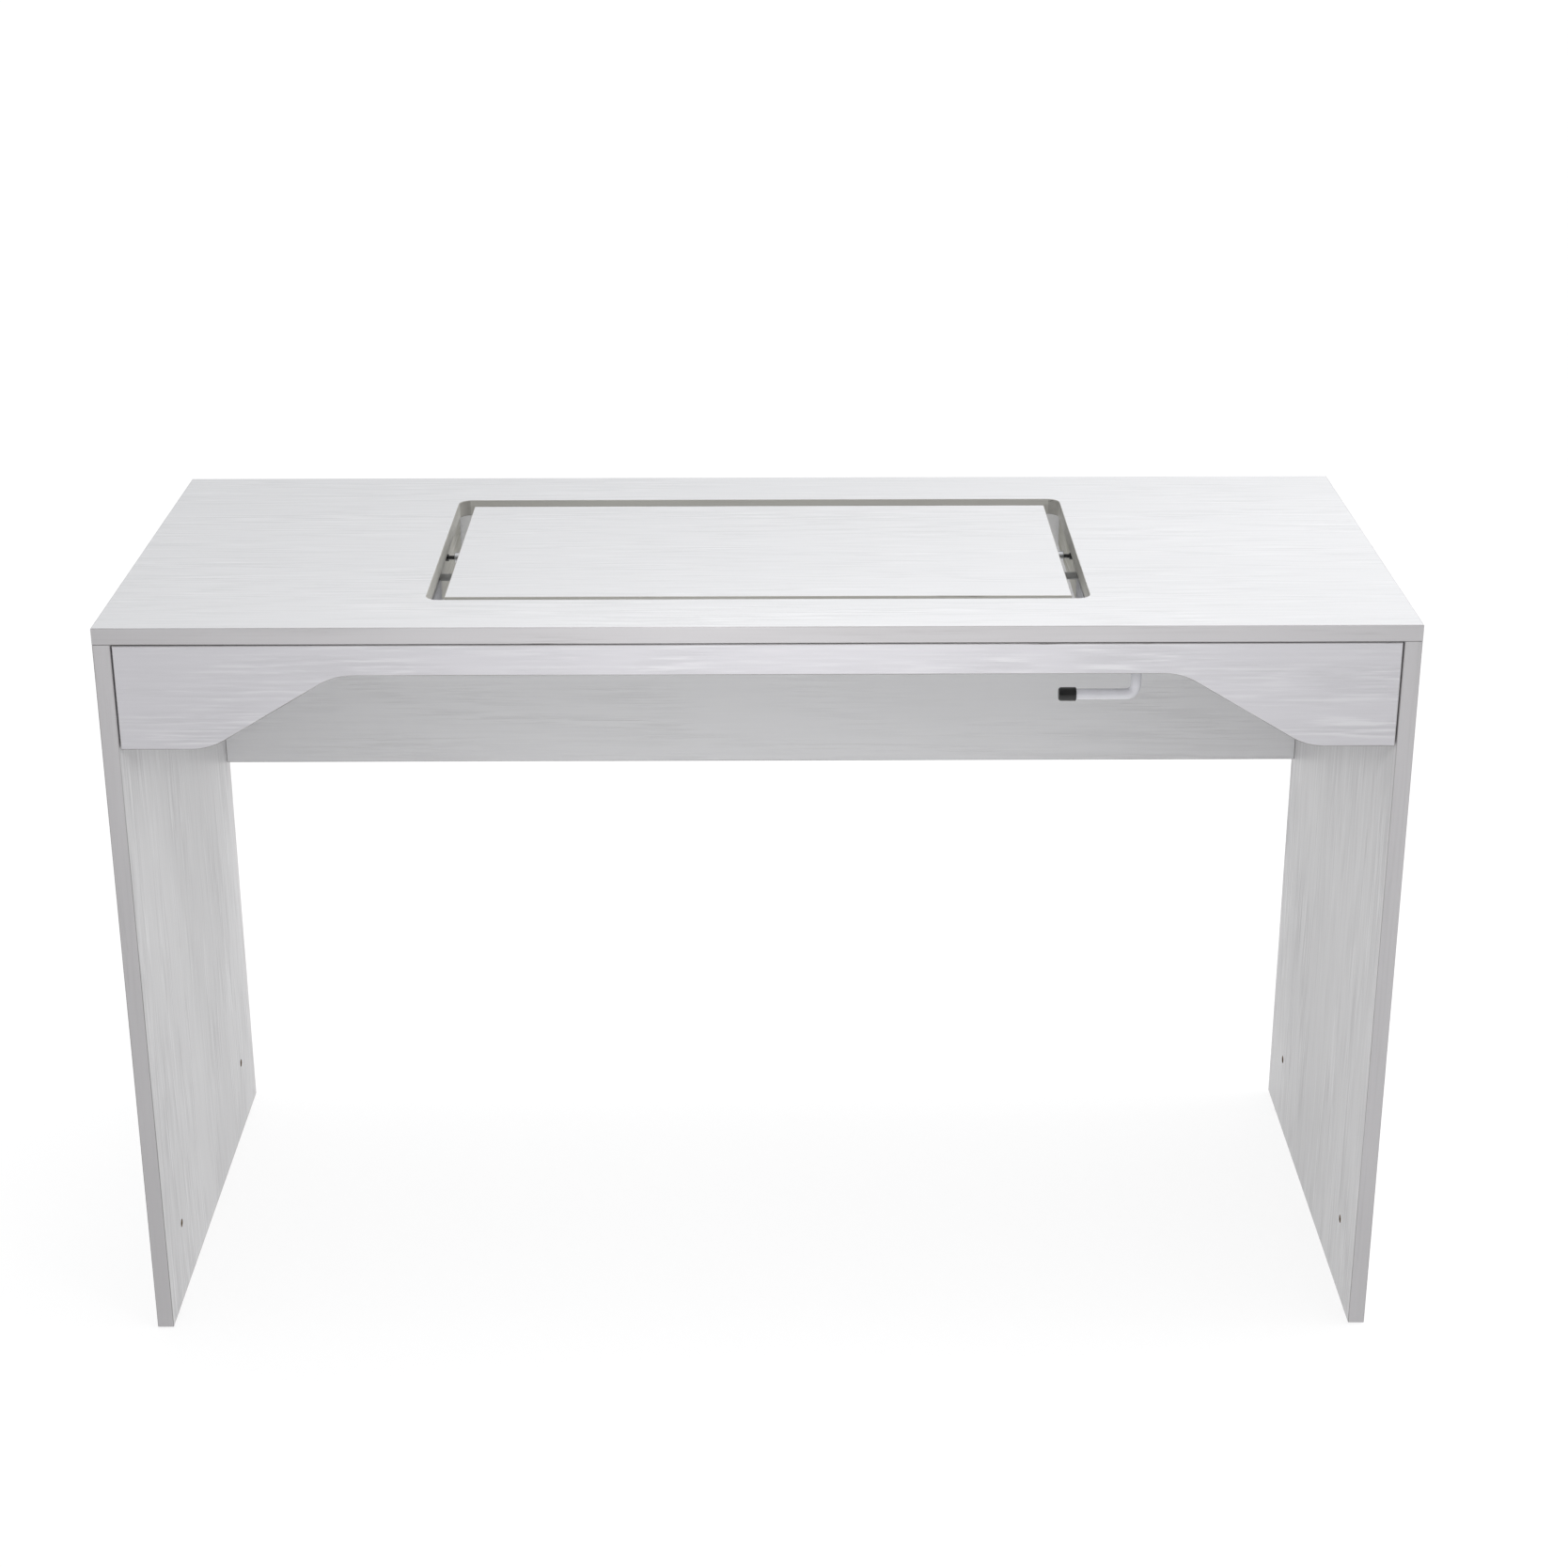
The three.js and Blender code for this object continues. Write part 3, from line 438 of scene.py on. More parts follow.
def moulded(name, dark, light, rough_low, rough_high, grain_size):
    """Moulded rubber or nylon with a fine spark-eroded grain."""
    material, tree, shader = new_material(name)
    grain = speckled(tree, grain_size, 3.0, 0.6)
    wear = speckled(tree, 70, 3.0, 0.6)
    tone = mix_colors(tree, remap(tree, wear, 0.3, 0.75), dark, light)
    paint(tree, shader, tone, remap(tree, wear, 0.3, 0.7, rough_low, rough_high))
    bump(tree, shader, grain, 0.06 * MM)
    return material


CHIPBOARD = chipboard()
STEEL = plain_steel()
ZINC = zinc_steel()
BLACK_STEEL = dark_steel()
DULL_STEEL = dull_steel()
ENAMEL = white_enamel()
RUBBER = moulded("black_rubber", (0.003, 0.003, 0.003, 1.0), (0.008, 0.008, 0.008, 1.0), 0.30, 0.44, 1800)
NYLON = moulded("grey_nylon", (0.33, 0.33, 0.325, 1.0), (0.42, 0.42, 0.41, 1.0), 0.42, 0.55, 1400)


# Shape helpers.

PLATE_TURN = {
    "x": Matrix(((0, 0, 1), (1, 0, 0), (0, 1, 0))),
    "y": Matrix(((1, 0, 0), (0, 0, -1), (0, 1, 0))),
    "z": Matrix.Identity(3),
}


def arc(u, v, radius, start, end, steps=10):
    """Points of an arc whose ends are given in degrees."""
    angles = [math.radians(start + (end - start) * i / steps) for i in range(steps + 1)]
    return [(u + radius * math.cos(a), v + radius * math.sin(a)) for a in angles]


def circle(u, v, radius):
    steps = 40
    return arc(u, v, radius, 0, 360 * (1 - 1 / steps), steps - 1)


def round_box(low, high, corner, steps=6):
    (u0, v0), (u1, v1) = low, high
    return (
        arc(u1 - corner, v0 + corner, corner, -90, 0, steps)
        + arc(u1 - corner, v1 - corner, corner, 0, 90, steps)
        + arc(u0 + corner, v1 - corner, corner, 90, 180, steps)
        + arc(u0 + corner, v0 + corner, corner, 180, 270, steps)
    )


def closed(shape, mesh):
    """The mesh of a finished shape, with its faces turned outward."""
    bmesh.ops.recalc_face_normals(shape, faces=shape.faces)
    shape.to_mesh(mesh)
    shape.free()
    return mesh


def mesh_of_curve(curve):
    """The curve's mesh, with the points that its strips share merged."""
    holder = add_object("holder", curve)
    bpy.context.view_layer.update()
    mesh = bpy.data.meshes.new_from_object(holder)
    bpy.data.objects.remove(holder)
    bpy.data.curves.remove(curve)
    shape = bmesh.new()
    shape.from_mesh(mesh)
    bmesh.ops.remove_doubles(shape, verts=shape.verts, dist=0.002 * MM)
    return closed(shape, mesh)


def plate(outlines, axis, low, high, arris, steps=3):
    """A flat piece between low and high on axis. The first outline is its rim, the others are holes."""
    curve = bpy.data.curves.new("plate", "CURVE")
    curve.dimensions = "2D"
    curve.fill_mode = "BOTH"
    curve.extrude = (high - low) / 2 - arris
    curve.bevel_depth = arris
    curve.bevel_resolution = steps - 1
    curve.offset = -arris
    for outline in outlines:
        spline = curve.splines.new("POLY")
        spline.points.add(len(outline) - 1)
        for point, (u, v) in zip(spline.points, outline):
            point.co = (u, v, 0, 1)
        spline.use_cyclic_u = True
    mesh = mesh_of_curve(curve)
    middle = Vector((0, 0, 0))
    middle[AXIS_NUMBER[axis]] = (low + high) / 2
    mesh.transform(Matrix.Translation(middle) @ PLATE_TURN[axis].to_4x4())
    return mesh


def swept(points, radius, sides=8):
    """A round rod or wire along the points."""
    curve = bpy.data.curves.new("rod", "CURVE")
    curve.dimensions = "3D"
    curve.bevel_depth = radius
    curve.bevel_resolution = sides
    curve.use_fill_caps = True
    spline = curve.splines.new("POLY")
    spline.points.add(len(points) - 1)
    for point, place in zip(spline.points, points):
        point.co = (*place, 1)
    return mesh_of_curve(curve)


def softened(points, amount, steps=3):
    """The points as a line with its inner corners rounded, each cut back by at most amount."""
    points = [Vector(point) for point in points]
    rounded = [points[0]]
    for before, corner, after in zip(points, points[1:], points[2:]):
        back = before - corner
        ahead = after - corner
        reach = min(amount, 0.45 * back.length, 0.45 * ahead.length)
        start = corner + back.normalized() * reach
        end = corner + ahead.normalized() * reach
        for i in range(steps + 1):
            t = i / steps
            rounded.append(start * (1 - t) ** 2 + corner * 2 * t * (1 - t) + end * t * t)
    return [tuple(point) for point in (*rounded, points[-1])]


def turned(profile, start, direction, sides=48, hollow=False):
    """A turned piece. Profile points are (radius, distance), and either may be a function of the angle."""
    shape = bmesh.new()
    rings = []
    for radius, distance in profile:
        if radius == 0:
            rings.append([shape.verts.new((0, 0, distance))])
            continue
        ring = []
        for i in range(sides):
            angle = 2 * math.pi * i / sides
            r = radius(angle) if callable(radius) else radius
            z = distance(angle) if callable(distance) else distance
            ring.append(shape.verts.new((r * math.cos(angle), r * math.sin(angle), z)))
        rings.append(ring)
    pairs = list(zip(rings, rings[1:]))
    if hollow:
        pairs.append((rings[-1], rings[0]))
    for first, second in pairs:
        for i in range(sides):
            j = (i + 1) % sides
            corners = [first[i % len(first)], first[j % len(first)]]
            corners += [second[j % len(second)], second[i % len(second)]]
            corners = list(dict.fromkeys(corners))
            if len(corners) > 2:
                shape.faces.new(corners)
    mesh = closed(shape, bpy.data.meshes.new("turned"))
    aim = Vector((0, 0, 1)).rotation_difference(Vector(direction)).to_matrix().to_4x4()
    mesh.transform(Matrix.Translation(Vector(start)) @ aim)
    return mesh


def merged(meshes):
    """Separate solids as one mesh."""
    shape = bmesh.new()
    for mesh in meshes:
        shape.from_mesh(mesh)
        bpy.data.meshes.remove(mesh)
    together = bpy.data.meshes.new("group")
    shape.to_mesh(together)
    shape.free()
    return together


def drilled(mesh, bores):
    """The mesh with round blind bores. A bore is (place, direction, radius, depth)."""
    overrun = 1 * MM
    target = add_object("target", mesh)
    drills = []
    for place, direction, radius, depth in bores:
        start = Vector(place) - Vector(direction) * overrun
        length = depth + overrun
        profile = [(0, 0), (radius, 0), (radius, length), (0, length)]
        drill = add_object("drill", turned(profile, start, direction))
        drills.append(drill)
        cut = target.modifiers.new("bore", "BOOLEAN")
        cut.operation = "DIFFERENCE"
        cut.solver = "EXACT"
        cut.object = drill
    graph = bpy.context.evaluated_depsgraph_get()
    result = bpy.data.meshes.new_from_object(target.evaluated_get(graph))
    for piece in [target, *drills]:
        old = piece.data
        bpy.data.objects.remove(piece)
        bpy.data.meshes.remove(old)
    return result


def hexagon(corner_radius):
    """A hexagon's radius as a function of the angle."""
    flat = corner_radius * math.cos(math.pi / 6)
    return lambda angle: flat / math.cos(angle % (math.pi / 3) - math.pi / 6)


def chamfer_drop(corner_radius):
    """How far a hexagon's edge lies below its end face, where a turned chamfer crosses it."""
    edge = hexagon(corner_radius)
    free = corner_radius * math.cos(math.pi / 6) * 0.97
    return lambda angle: max(0.0, edge(angle) - free) * math.tan(math.pi / 6)


def cross_slot(length, half_width):
    """A Phillips recess's radius as a function of the angle."""
    def radius(angle):
        c = max(abs(math.cos(angle)), 1e-6)
        s = max(abs(math.sin(angle)), 1e-6)
        return max(min(length / c, half_width / s), min(half_width / c, length / s))
    return radius


SMALL_SCREW = (3.6 * MM, 2.2 * MM)
BIG_SCREW = (4.2 * MM, 2.4 * MM)


def screw_head(place, direction, radius=SMALL_SCREW[0], height=SMALL_SCREW[1]):
    """A pan head with a cross recess, standing on place; direction points into the board."""
    start = Vector(place) - Vector(direction) * height
    recess = cross_slot(radius * 0.62, radius * 0.16)
    floor = cross_slot(radius * 0.34, radius * 0.10)
    profile = [
        (0, height * 0.62),
        (floor, height * 0.62),
        (recess, height * 0.06),
        (radius * 0.70, height * 0.10),
        (radius * 0.90, height * 0.36),
        (radius, height * 0.72),
        (radius, height),
        (0, height),
    ]
    return turned(profile, start, direction)


# Piece helpers.

SHARP_ANGLE = math.radians(38)


def add_piece(name, mesh, body, slot, *materials):
    mesh.name = name
    for material in materials:
        mesh.materials.append(material)
    mesh.polygons.foreach_set("use_smooth", [True] * len(mesh.polygons))
    mesh.set_sharp_from_angle(angle=SHARP_ANGLE)
    piece = add_object(name, mesh)
    piece.modifiers.new("even_shading", "WEIGHTED_NORMAL").keep_sharp = True
    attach(piece, body)
    return piece


def stand_for(node, mesh, *materials):
    """The mesh as the finished piece of a CAD node, on the node's body."""
    piece = add_piece(f"{node}_fine", mesh, BODY_OF[node], SLOT_OF[node], *materials)
    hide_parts(node)


def centre(node):
    low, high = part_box(node)
    return (low + high) / 2


def side_faces(node):
    """How far the node's inner and outer faces lie from the middle of the table."""
    low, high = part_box(node)
    return sorted((abs(low.x), abs(high.x)))


def in_bore(point, bore):
    place, direction, radius, depth = bore
    reach = point - Vector(place)
    along = reach.dot(Vector(direction))
    aside = (reach - Vector(direction) * along).length
    return aside < radius * 1.001 and 0.01 * MM < along < depth * 1.01


def mark_edges(mesh, axis, bores, is_cut):
    """Gives a board's banded rim the second material, its bores the third and its cut edges the fourth."""
    number = AXIS_NUMBER[axis]
    for face in mesh.polygons:
        face.material_index = 0 if abs(face.normal[number]) > 0.995 else 1
        if face.material_index == 1 and is_cut and is_cut(face.center):
            face.material_index = 3
        if any(in_bore(face.center, bore) for bore in bores):
            face.material_index = 2


def board(node, outlines, axis, grain, bores=(), is_cut=None, painted_light_tones=()):
    """A board whose facing and banding have their grain along one axis."""
    low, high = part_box(node)
    number = AXIS_NUMBER[axis]
    mesh = plate(outlines, axis, low[number], high[number], BOARD_ARRIS)
    if bores:
        mesh = drilled(mesh, bores)
    mark_edges(mesh, axis, bores, is_cut)
    offset = tuple(3.7 * (i + 1) * (len(node) + i) + low[i] for i in range(3))
    # Tones given for a board are a darker or lighter copy of the white facing: painted shade or painted
    # light.
    materials = [melamine(f"facing_{node}", grain, offset, *painted_light_tones), edge_band(f"band_{node}", grain, offset)]
    if bores or is_cut:
        materials.append(CHIPBOARD)
    if is_cut:
        # The cut edges get a darker olive-grey band as painted shade.
        materials.append(edge_band(f"cut_{node}", grain, offset, CUT_PAINTED_SHADE_WHITE, CUT_PAINTED_SHADE_GREY))
    stand_for(node, mesh, *materials)


def rectangle(low, high):
    (u0, v0), (u1, v1) = low, high
    return [(u0, v0), (u1, v0), (u1, v1), (u0, v1)]


def bore_of(node, direction):
    """The blind bore of a cam lock, which opens on the cam's flush face."""
    low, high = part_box(node)
    along = Vector(direction)
    depth = abs((high - low).dot(along))
    radius = (high.z - low.z) / 2
    face = centre(node) - along * depth / 2
    return face, along, radius + BORE_CLEARANCE, depth + BORE_CLEARANCE


# Boards.

def add_table_top():
    low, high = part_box("table_top")
    front = FRONT_EDGE + CUTOUT_FRONT
    back = FRONT_EDGE + CUTOUT_BACK
    cutout = round_box((-CUTOUT_HALF, front), (CUTOUT_HALF, back), CUTOUT_CORNER, 10)
    reach = CUTOUT_HALF + BOARD_ARRIS

    def in_cutout(point):
        return abs(point.x) < reach and front - BOARD_ARRIS < point.y < back + BOARD_ARRIS

    # The cutout's walls get the darker band as painted shade.
    board("table_top", [rectangle(low.xy, high.xy), cutout], "z", "x", is_cut=in_cutout)


def add_side_panels():
    for side, sign in SIDES.items():
        node = f"side_panel_{side}"
        low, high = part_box(node)
        inner = low.x if sign > 0 else high.x
        outward = Vector((sign, 0, 0))
        bores = [bore_of(f"side_cam_{end}_{side}", outward) for end in ENDS]
        for distance in SPARE_HOLE_DISTANCES:
            place = Vector((inner, FRONT_EDGE + distance, SPARE_HOLE_HEIGHT))
            bores.append((place, outward, SPARE_HOLE_RADIUS, SPARE_HOLE_DEPTH))
        # The side panels' facing is darkened as painted shade.
        board(node, [rectangle(low.yz, high.yz)], "x", "z", bores, painted_light_tones=PANEL_PAINTED_SHADE_TONES)


def add_back_panel():
    low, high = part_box("back_panel")
    bores = [bore_of(f"back_cam_{level}_{side}", FORWARD) for level in ("low", "high") for side in SIDES]
    # The back panel's facing is lightened as painted light.
    board("back_panel", [rectangle(low.xz, high.xz)], "y", "x", bores, painted_light_tones=BACK_PAINTED_LIGHT_TONES)


def apron_outline():
    """Deep ends and a shallow middle, joined by straight slopes with round bends."""
    low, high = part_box("front_apron")
    middle = high.z - ARCH_MIDDLE_HEIGHT
    radius = ARCH_BEND_RADIUS
    rise = radius * (1 - math.cos(ARCH_SLOPE))
    run = radius * math.sin(ARCH_SLOPE)
    straight = (middle - low.z - 2 * rise) / math.tan(ARCH_SLOPE)
    low_bend_x = ARCH_FLAT_HALF + 2 * run + straight
    slope = math.degrees(ARCH_SLOPE)
    return (
        [(low.x, high.z), (low.x, low.z)]
        + arc(-low_bend_x, low.z + radius, radius, -90, -90 + slope)
        + arc(-ARCH_FLAT_HALF, middle - radius, radius, 90 + slope, 90)
        + arc(ARCH_FLAT_HALF, middle - radius, radius, 90, 90 - slope)
        + arc(low_bend_x, low.z + radius, radius, -90 - slope, -90)
        + [(high.x, low.z), (high.x, high.z)]
    )


def add_apron():
    bores = [bore_of(f"apron_cam_{side}", FORWARD) for side in SIDES]
    # The apron's facing is darkened and tinted as painted shade.
    board("front_apron", [apron_outline()], "y", "x", bores, painted_light_tones=APRON_PAINTED_SHADE_TONES)


def add_rails():
    """Board strips beside the cutout, notched from the front to clear the pivots."""
    notch_back = FRONT_EDGE + RAIL_NOTCH_BACK
    for side in SIDES:
        low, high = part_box(f"lift_rail_{side}")
        notch_top = low.z + RAIL_NOTCH_DEPTH
        outline = [(low.y, high.z), (low.y, notch_top), (notch_back, notch_top)]
        outline += [(notch_back, low.z), (high.y, low.z), (high.y, high.z)]
        # The rails' facing is darkened and tinted olive as painted shade.
        board(f"lift_rail_{side}", [outline], "x", "y", painted_light_tones=RAIL_PAINTED_SHADE_TONES)


def add_platform_board():
    low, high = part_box("lift_platform")
    # The platform's whole rim gets the darker band as painted shade.
    board("lift_platform", [rectangle(low.xy, high.xy)], "z", "x", is_cut=lambda point: True)


# Small parts of the carcass.

def add_cams():
    """Cam locks: a disc with a cross slot, flush in the board."""
    directions = {}
    for side, sign in SIDES.items():
        for end in ENDS:
            directions[f"side_cam_{end}_{side}"] = Vector((sign, 0, 0))
        for level in ("low", "high"):
            directions[f"back_cam_{level}_{side}"] = FORWARD
        directions[f"apron_cam_{side}"] = FORWARD
    slot_floor = 1.9 * MM
    for node, along in directions.items():
        face, _, bore_radius, bore_depth = bore_of(node, along)
        radius = bore_radius - BORE_CLEARANCE
        depth = bore_depth - BORE_CLEARANCE
        profile = [
            (0, slot_floor),
            (cross_slot(3.4 * MM, 0.75 * MM), slot_floor),
            (cross_slot(4.3 * MM, 1.0 * MM), 0.25 * MM),
            (5.4 * MM, 0.25 * MM),
            (5.7 * MM, 0),
            (radius - 0.5 * MM, 0),
            (radius, 0.5 * MM),
            (radius, depth),
            (0, depth),
        ]
        stand_for(node, turned(profile, face, along, 64), ZINC)


def add_glides():
    for side, end in product(SIDES, ENDS):
        node = f"glide_{end}_{side}"
        low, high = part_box(node)
        radius = (high.x - low.x) / 2
        height = high.z - low.z
        place = centre(node)
        place.z = low.z
        profile = [(0, 0), (radius * 0.62, 0), (radius * 0.86, 0.5 * MM), (radius, 1.3 * MM)]
        profile += [(radius, height), (0, height)]
        stand_for(node, turned(softened(profile, 0.6 * MM), place, (0, 0, 1)), RUBBER)


def angle_outline(corner, signs, lengths, thickness, bend=1.2 * MM):
    """An angle bracket's section, from its outer corner along both flanges."""
    (cu, cv), (su, sv), (lu, lv) = corner, signs, lengths
    outer = thickness + bend
    points = [(lu, 0), (lu, thickness)]
    points += arc(outer, outer, bend, 270, 180, 5)
    points += [(thickness, lv), (0, lv)]
    points += arc(outer, outer, outer, 180, 270, 6)
    return [(cu + su * u, cv + sv * v) for u, v in points]


def add_screws(name, body, heads):
    add_piece(name, merged(heads), body, "zinc_steel", ZINC)


BRACKET_THICKNESS = 2 * MM
BRACKET_ARRIS = 0.3 * MM
BRACKET_SCREW_ASIDE = 8 * MM
BRACKET_SCREW_REACH = 0.62


def add_bracket(node, across, root, sign):
    """A bracket under the top, whose flanges run from root along one level axis and downward."""
    low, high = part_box(node)
    along = 1 - across
    size = high.z - low.z
    reach = size * BRACKET_SCREW_REACH
    outline = angle_outline((root, high.z), (sign, -1), (size, size), BRACKET_THICKNESS)
    mesh = plate([outline], "xy"[along], low[along], high[along], BRACKET_ARRIS, 2)
    stand_for(node, mesh, ZINC)
    upward = Vector((0, 0, 1))
    sideways = Vector((0, 0, 0))
    sideways[across] = -sign
    heads = []
    for aside in (-BRACKET_SCREW_ASIDE, BRACKET_SCREW_ASIDE):
        spots = ((reach, BRACKET_THICKNESS, upward), (BRACKET_THICKNESS, reach, sideways))
        for spread, drop, into in spots:
            place = centre(node)
            place[across] = root + sign * spread
            place[along] += aside
            place.z = high.z - drop
            heads.append(screw_head(place, into))
    add_screws(f"{node}_screws", "carcass", heads)


def add_brackets():
    for side in SIDES:
        node = f"apron_bracket_{side}"
        add_bracket(node, AXIS_NUMBER["y"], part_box(node)[0].y, 1)
    for (side, sign), end in product(SIDES.items(), ENDS):
        node = f"rail_bracket_{end}_{side}"
        root = sign * side_faces(node)[0]
        add_bracket(node, AXIS_NUMBER["x"], root, sign)


# Lift.

def stop_place(along, offset, angle):
    """A place beside the rear arm: along it and square to it, when it stands at angle."""
    y = REAR_PIVOT.y + along * math.cos(angle) - offset * math.sin(angle)
    z = REAR_PIVOT.z + along * math.sin(angle) + offset * math.cos(angle)
    return y, z


def side_plate_outline(low, high, stop):
    bottom = FRONT_PIVOT.y - low.y
    back = PLATE_BACK_CORNER
    front = PLATE_FRONT_CORNER
    stop_y, stop_z = stop
    return (
        arc(FRONT_PIVOT.y, PLATE_BOTTOM + bottom, bottom, 180, 270)
        + [(stop_y - PLATE_EAR_AHEAD, PLATE_BOTTOM)]
        + arc(stop_y, stop_z, PLATE_EAR_RADIUS, *PLATE_EAR_DEGREES)
        + [(high.y, stop_z + PLATE_EAR_ABOVE)]
        + arc(high.y - back, high.z - back, back, 0, 90)
        + arc(low.y + front, high.z - front, front, 90, 180)
    )


def sleeve_profile(bore, radius, length, flare, chamfer):
    """A sleeve, or a peg if its bore is 0. The flare of its foot is given as (outward, along)."""
    foot = [(bore, 0)] + [(radius + outward, along) for outward, along in flare]
    return foot + [(radius, length - chamfer), (radius - chamfer, length), (bore, length)]


def add_side_plates():
    clear = ARM_HALF_WIDTH + DOWN_STOP_RADIUS + GAP
    down_stop = stop_place(DOWN_STOP_ALONG, -clear, ARM_LOW_ANGLE)
    pivots = (FRONT_PIVOT, REAR_PIVOT)
    for side, sign in SIDES.items():
        node = f"side_plate_{side}"
        low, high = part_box(node)
        edge, outer = side_faces(node)
        inner = outer - PLATE_THICKNESS
        span = sorted((sign * inner, sign * outer))
        holes = [circle(pivot.y, pivot.z, M8_BORE) for pivot in pivots]
        outline = side_plate_outline(low, high, down_stop)
        stand_for(node, plate([outline, *holes], "x", *span, STEEL_ARRIS, 2), DULL_STEEL)

        inward = Vector((-sign, 0, 0))
        length = inner - side_faces(f"front_arm_{side}")[1] - GAP
        for end, pivot in zip(ENDS, pivots):
            start = (sign * inner, pivot.y, pivot.z)
            profile = sleeve_profile(M8_BORE, BUSH_RADIUS, length, BUSH_FLARE, 0.5 * MM)
            bush = turned(profile, start, inward, hollow=True)
            add_piece(f"pivot_bush_{end}_{side}", bush, "carcass", "plain_steel", STEEL)

        peg_length = inner - edge
        profile = sleeve_profile(0, DOWN_STOP_RADIUS, peg_length, DOWN_STOP_FLARE, 0.7 * MM)
        peg = turned(profile, (sign * inner, *down_stop), inward)
        add_piece(f"down_stop_{side}", peg, "carcass", "plain_steel", STEEL)

        heads = []
        for distance in PLATE_SCREW_DISTANCES:
            place = (sign * inner, FRONT_EDGE + distance, PLATE_SCREW_HEIGHT)
            heads.append(screw_head(place, -inward, *BIG_SCREW))
        add_screws(f"side_plate_screws_{side}", "carcass", heads)


def add_up_stops():
    """Nylon pads on the rails above the rear arms, each with a recess in its end."""
    for side, sign in SIDES.items():
        node = f"up_stop_{side}"
        low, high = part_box(node)
        inward = Vector((-sign, 0, 0))
        radius = (high.z - low.z) / 2
        length = high.x - low.x
        start = centre(node) - inward * length / 2
        rim = 1.0 * MM
        profile = [
            (0, 0),
            (radius, 0),
            (radius, length - rim),
            (radius - 0.3 * rim, length - 0.3 * rim),
            (radius - rim, length),
            (radius * 0.55, length),
            (radius * 0.50, length - 2 * rim),
            (0, length - 2 * rim),
        ]
        stand_for(node, turned(profile, start, inward), NYLON)


def shank_profile(head_height, radius, length, point):
    """A shank from under its head to its chamfered end."""
    return [(radius, head_height), (radius, length - point), (radius - point, length), (0, length)]


def bolt_profile(head_radius, head_height, shank_radius, length):
    """A hexagon head with a turned chamfer, and a shank with a pointed end."""
    edge = hexagon(head_radius)
    drop = chamfer_drop(head_radius)
    free = head_radius * math.cos(math.pi / 6) * 0.95
    return [
        (0, 0),
        (free, 0),
        (edge, drop),
        (edge, head_height - 0.35 * MM),
        (head_radius * 0.84, head_height),
        *shank_profile(head_height, shank_radius, length, M8_POINT),
    ]


def button_profile(head_radius, head_height, shank_radius, length):
    """A domed head with a hexagon socket, and a shank."""
    socket = hexagon(head_radius * 0.45)
    return [
        (0, head_height * 0.75),
        (socket, head_height * 0.70),
        (socket, 0.15 * MM),
        (head_radius * 0.55, 0),
        (head_radius * 0.80, head_height * 0.16),
        (head_radius * 0.95, head_height * 0.45),
        (head_radius, head_height * 0.80),
        (head_radius, head_height),
        *shank_profile(head_height, shank_radius, length, M8_POINT),
    ]


def nut_mesh(node, inward):
    """A hexagon nut chamfered at both ends."""
    low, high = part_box(node)
    height = high.x - low.x
    edge = hexagon(M8_NUT)
    drop = chamfer_drop(M8_NUT)
    free = M8_NUT * math.cos(math.pi / 6) * 0.95
    thread = M8_BORE - 0.2 * MM
    lead_in = M8_BORE + 0.4 * MM
    profile = [
        (thread, 0.5 * MM),
        (lead_in, 0),
        (free, 0),
        (edge, drop),
        (edge, lambda angle: height - drop(angle)),
        (free, height),
        (lead_in, height),
        (thread, height - 0.5 * MM),
    ]
    start = centre(node) - inward * height / 2
    return turned(profile, start, inward, 72, hollow=True)


def cap_profile(head_radius, head_height, shank_radius, length):
    """A tall round head with a hexagon socket, and a shank."""
    socket = hexagon(head_radius * 0.48)
    return [
        (0, head_height * 0.6),
        (socket, head_height * 0.55),
        (socket, 0.1 * MM),
        (head_radius * 0.62, 0),
        (head_radius - 0.4 * MM, 0),
        (head_radius, 0.4 * MM),
        (head_radius, head_height),
        *shank_profile(head_height, shank_radius, length, M4_POINT),
    ]


def add_bolt(node, direction, profile_of, material, size=M8_SIZE):
    """A bolt that fills its CAD node; direction points from its head along its shank."""
    low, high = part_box(node)
    length = high.x - low.x
    start = centre(node) - direction * length / 2
    stand_for(node, turned(profile_of(*size, length), start, direction, 72), material)


def add_pivots():
    for place in ("front_left", "rear_left", "rear_right"):
        outward = Vector((1 if place.endswith("right") else -1, 0, 0))
        add_bolt(f"pivot_bolt_{place}", outward, bolt_profile, ZINC)
        stand_for(f"pivot_nut_{place}", nut_mesh(f"pivot_nut_{place}", outward), ZINC)
    outward = Vector((1, 0, 0))
    add_bolt("brake_shaft", outward, bolt_profile, STEEL)
    stand_for("brake_shaft_nut", nut_mesh("brake_shaft_nut", outward), ZINC)


def arm_outline(pivot, tip):
    angle = math.degrees(ARM_ANGLE)
    return (
        arc(pivot.y, pivot.z, ARM_HALF_WIDTH, angle + 90, angle + 270, 20)
        + arc(tip.y, tip.z, ARM_HALF_WIDTH, angle - 90, angle + 90, 20)
    )


def cross_shaft_profile(radius, bore, length):
    """A shaft bored at both ends for its bolts."""
    half = [
        (0, SHAFT_BOLT_DEPTH),
        (bore, SHAFT_BOLT_DEPTH),
        (bore, 0.4 * MM),
        (bore + 0.3 * MM, 0),
        (radius - 0.5 * MM, 0),
        (radius, 0.5 * MM),
    ]
    return half + [(r, length - along) for r, along in reversed(half)]


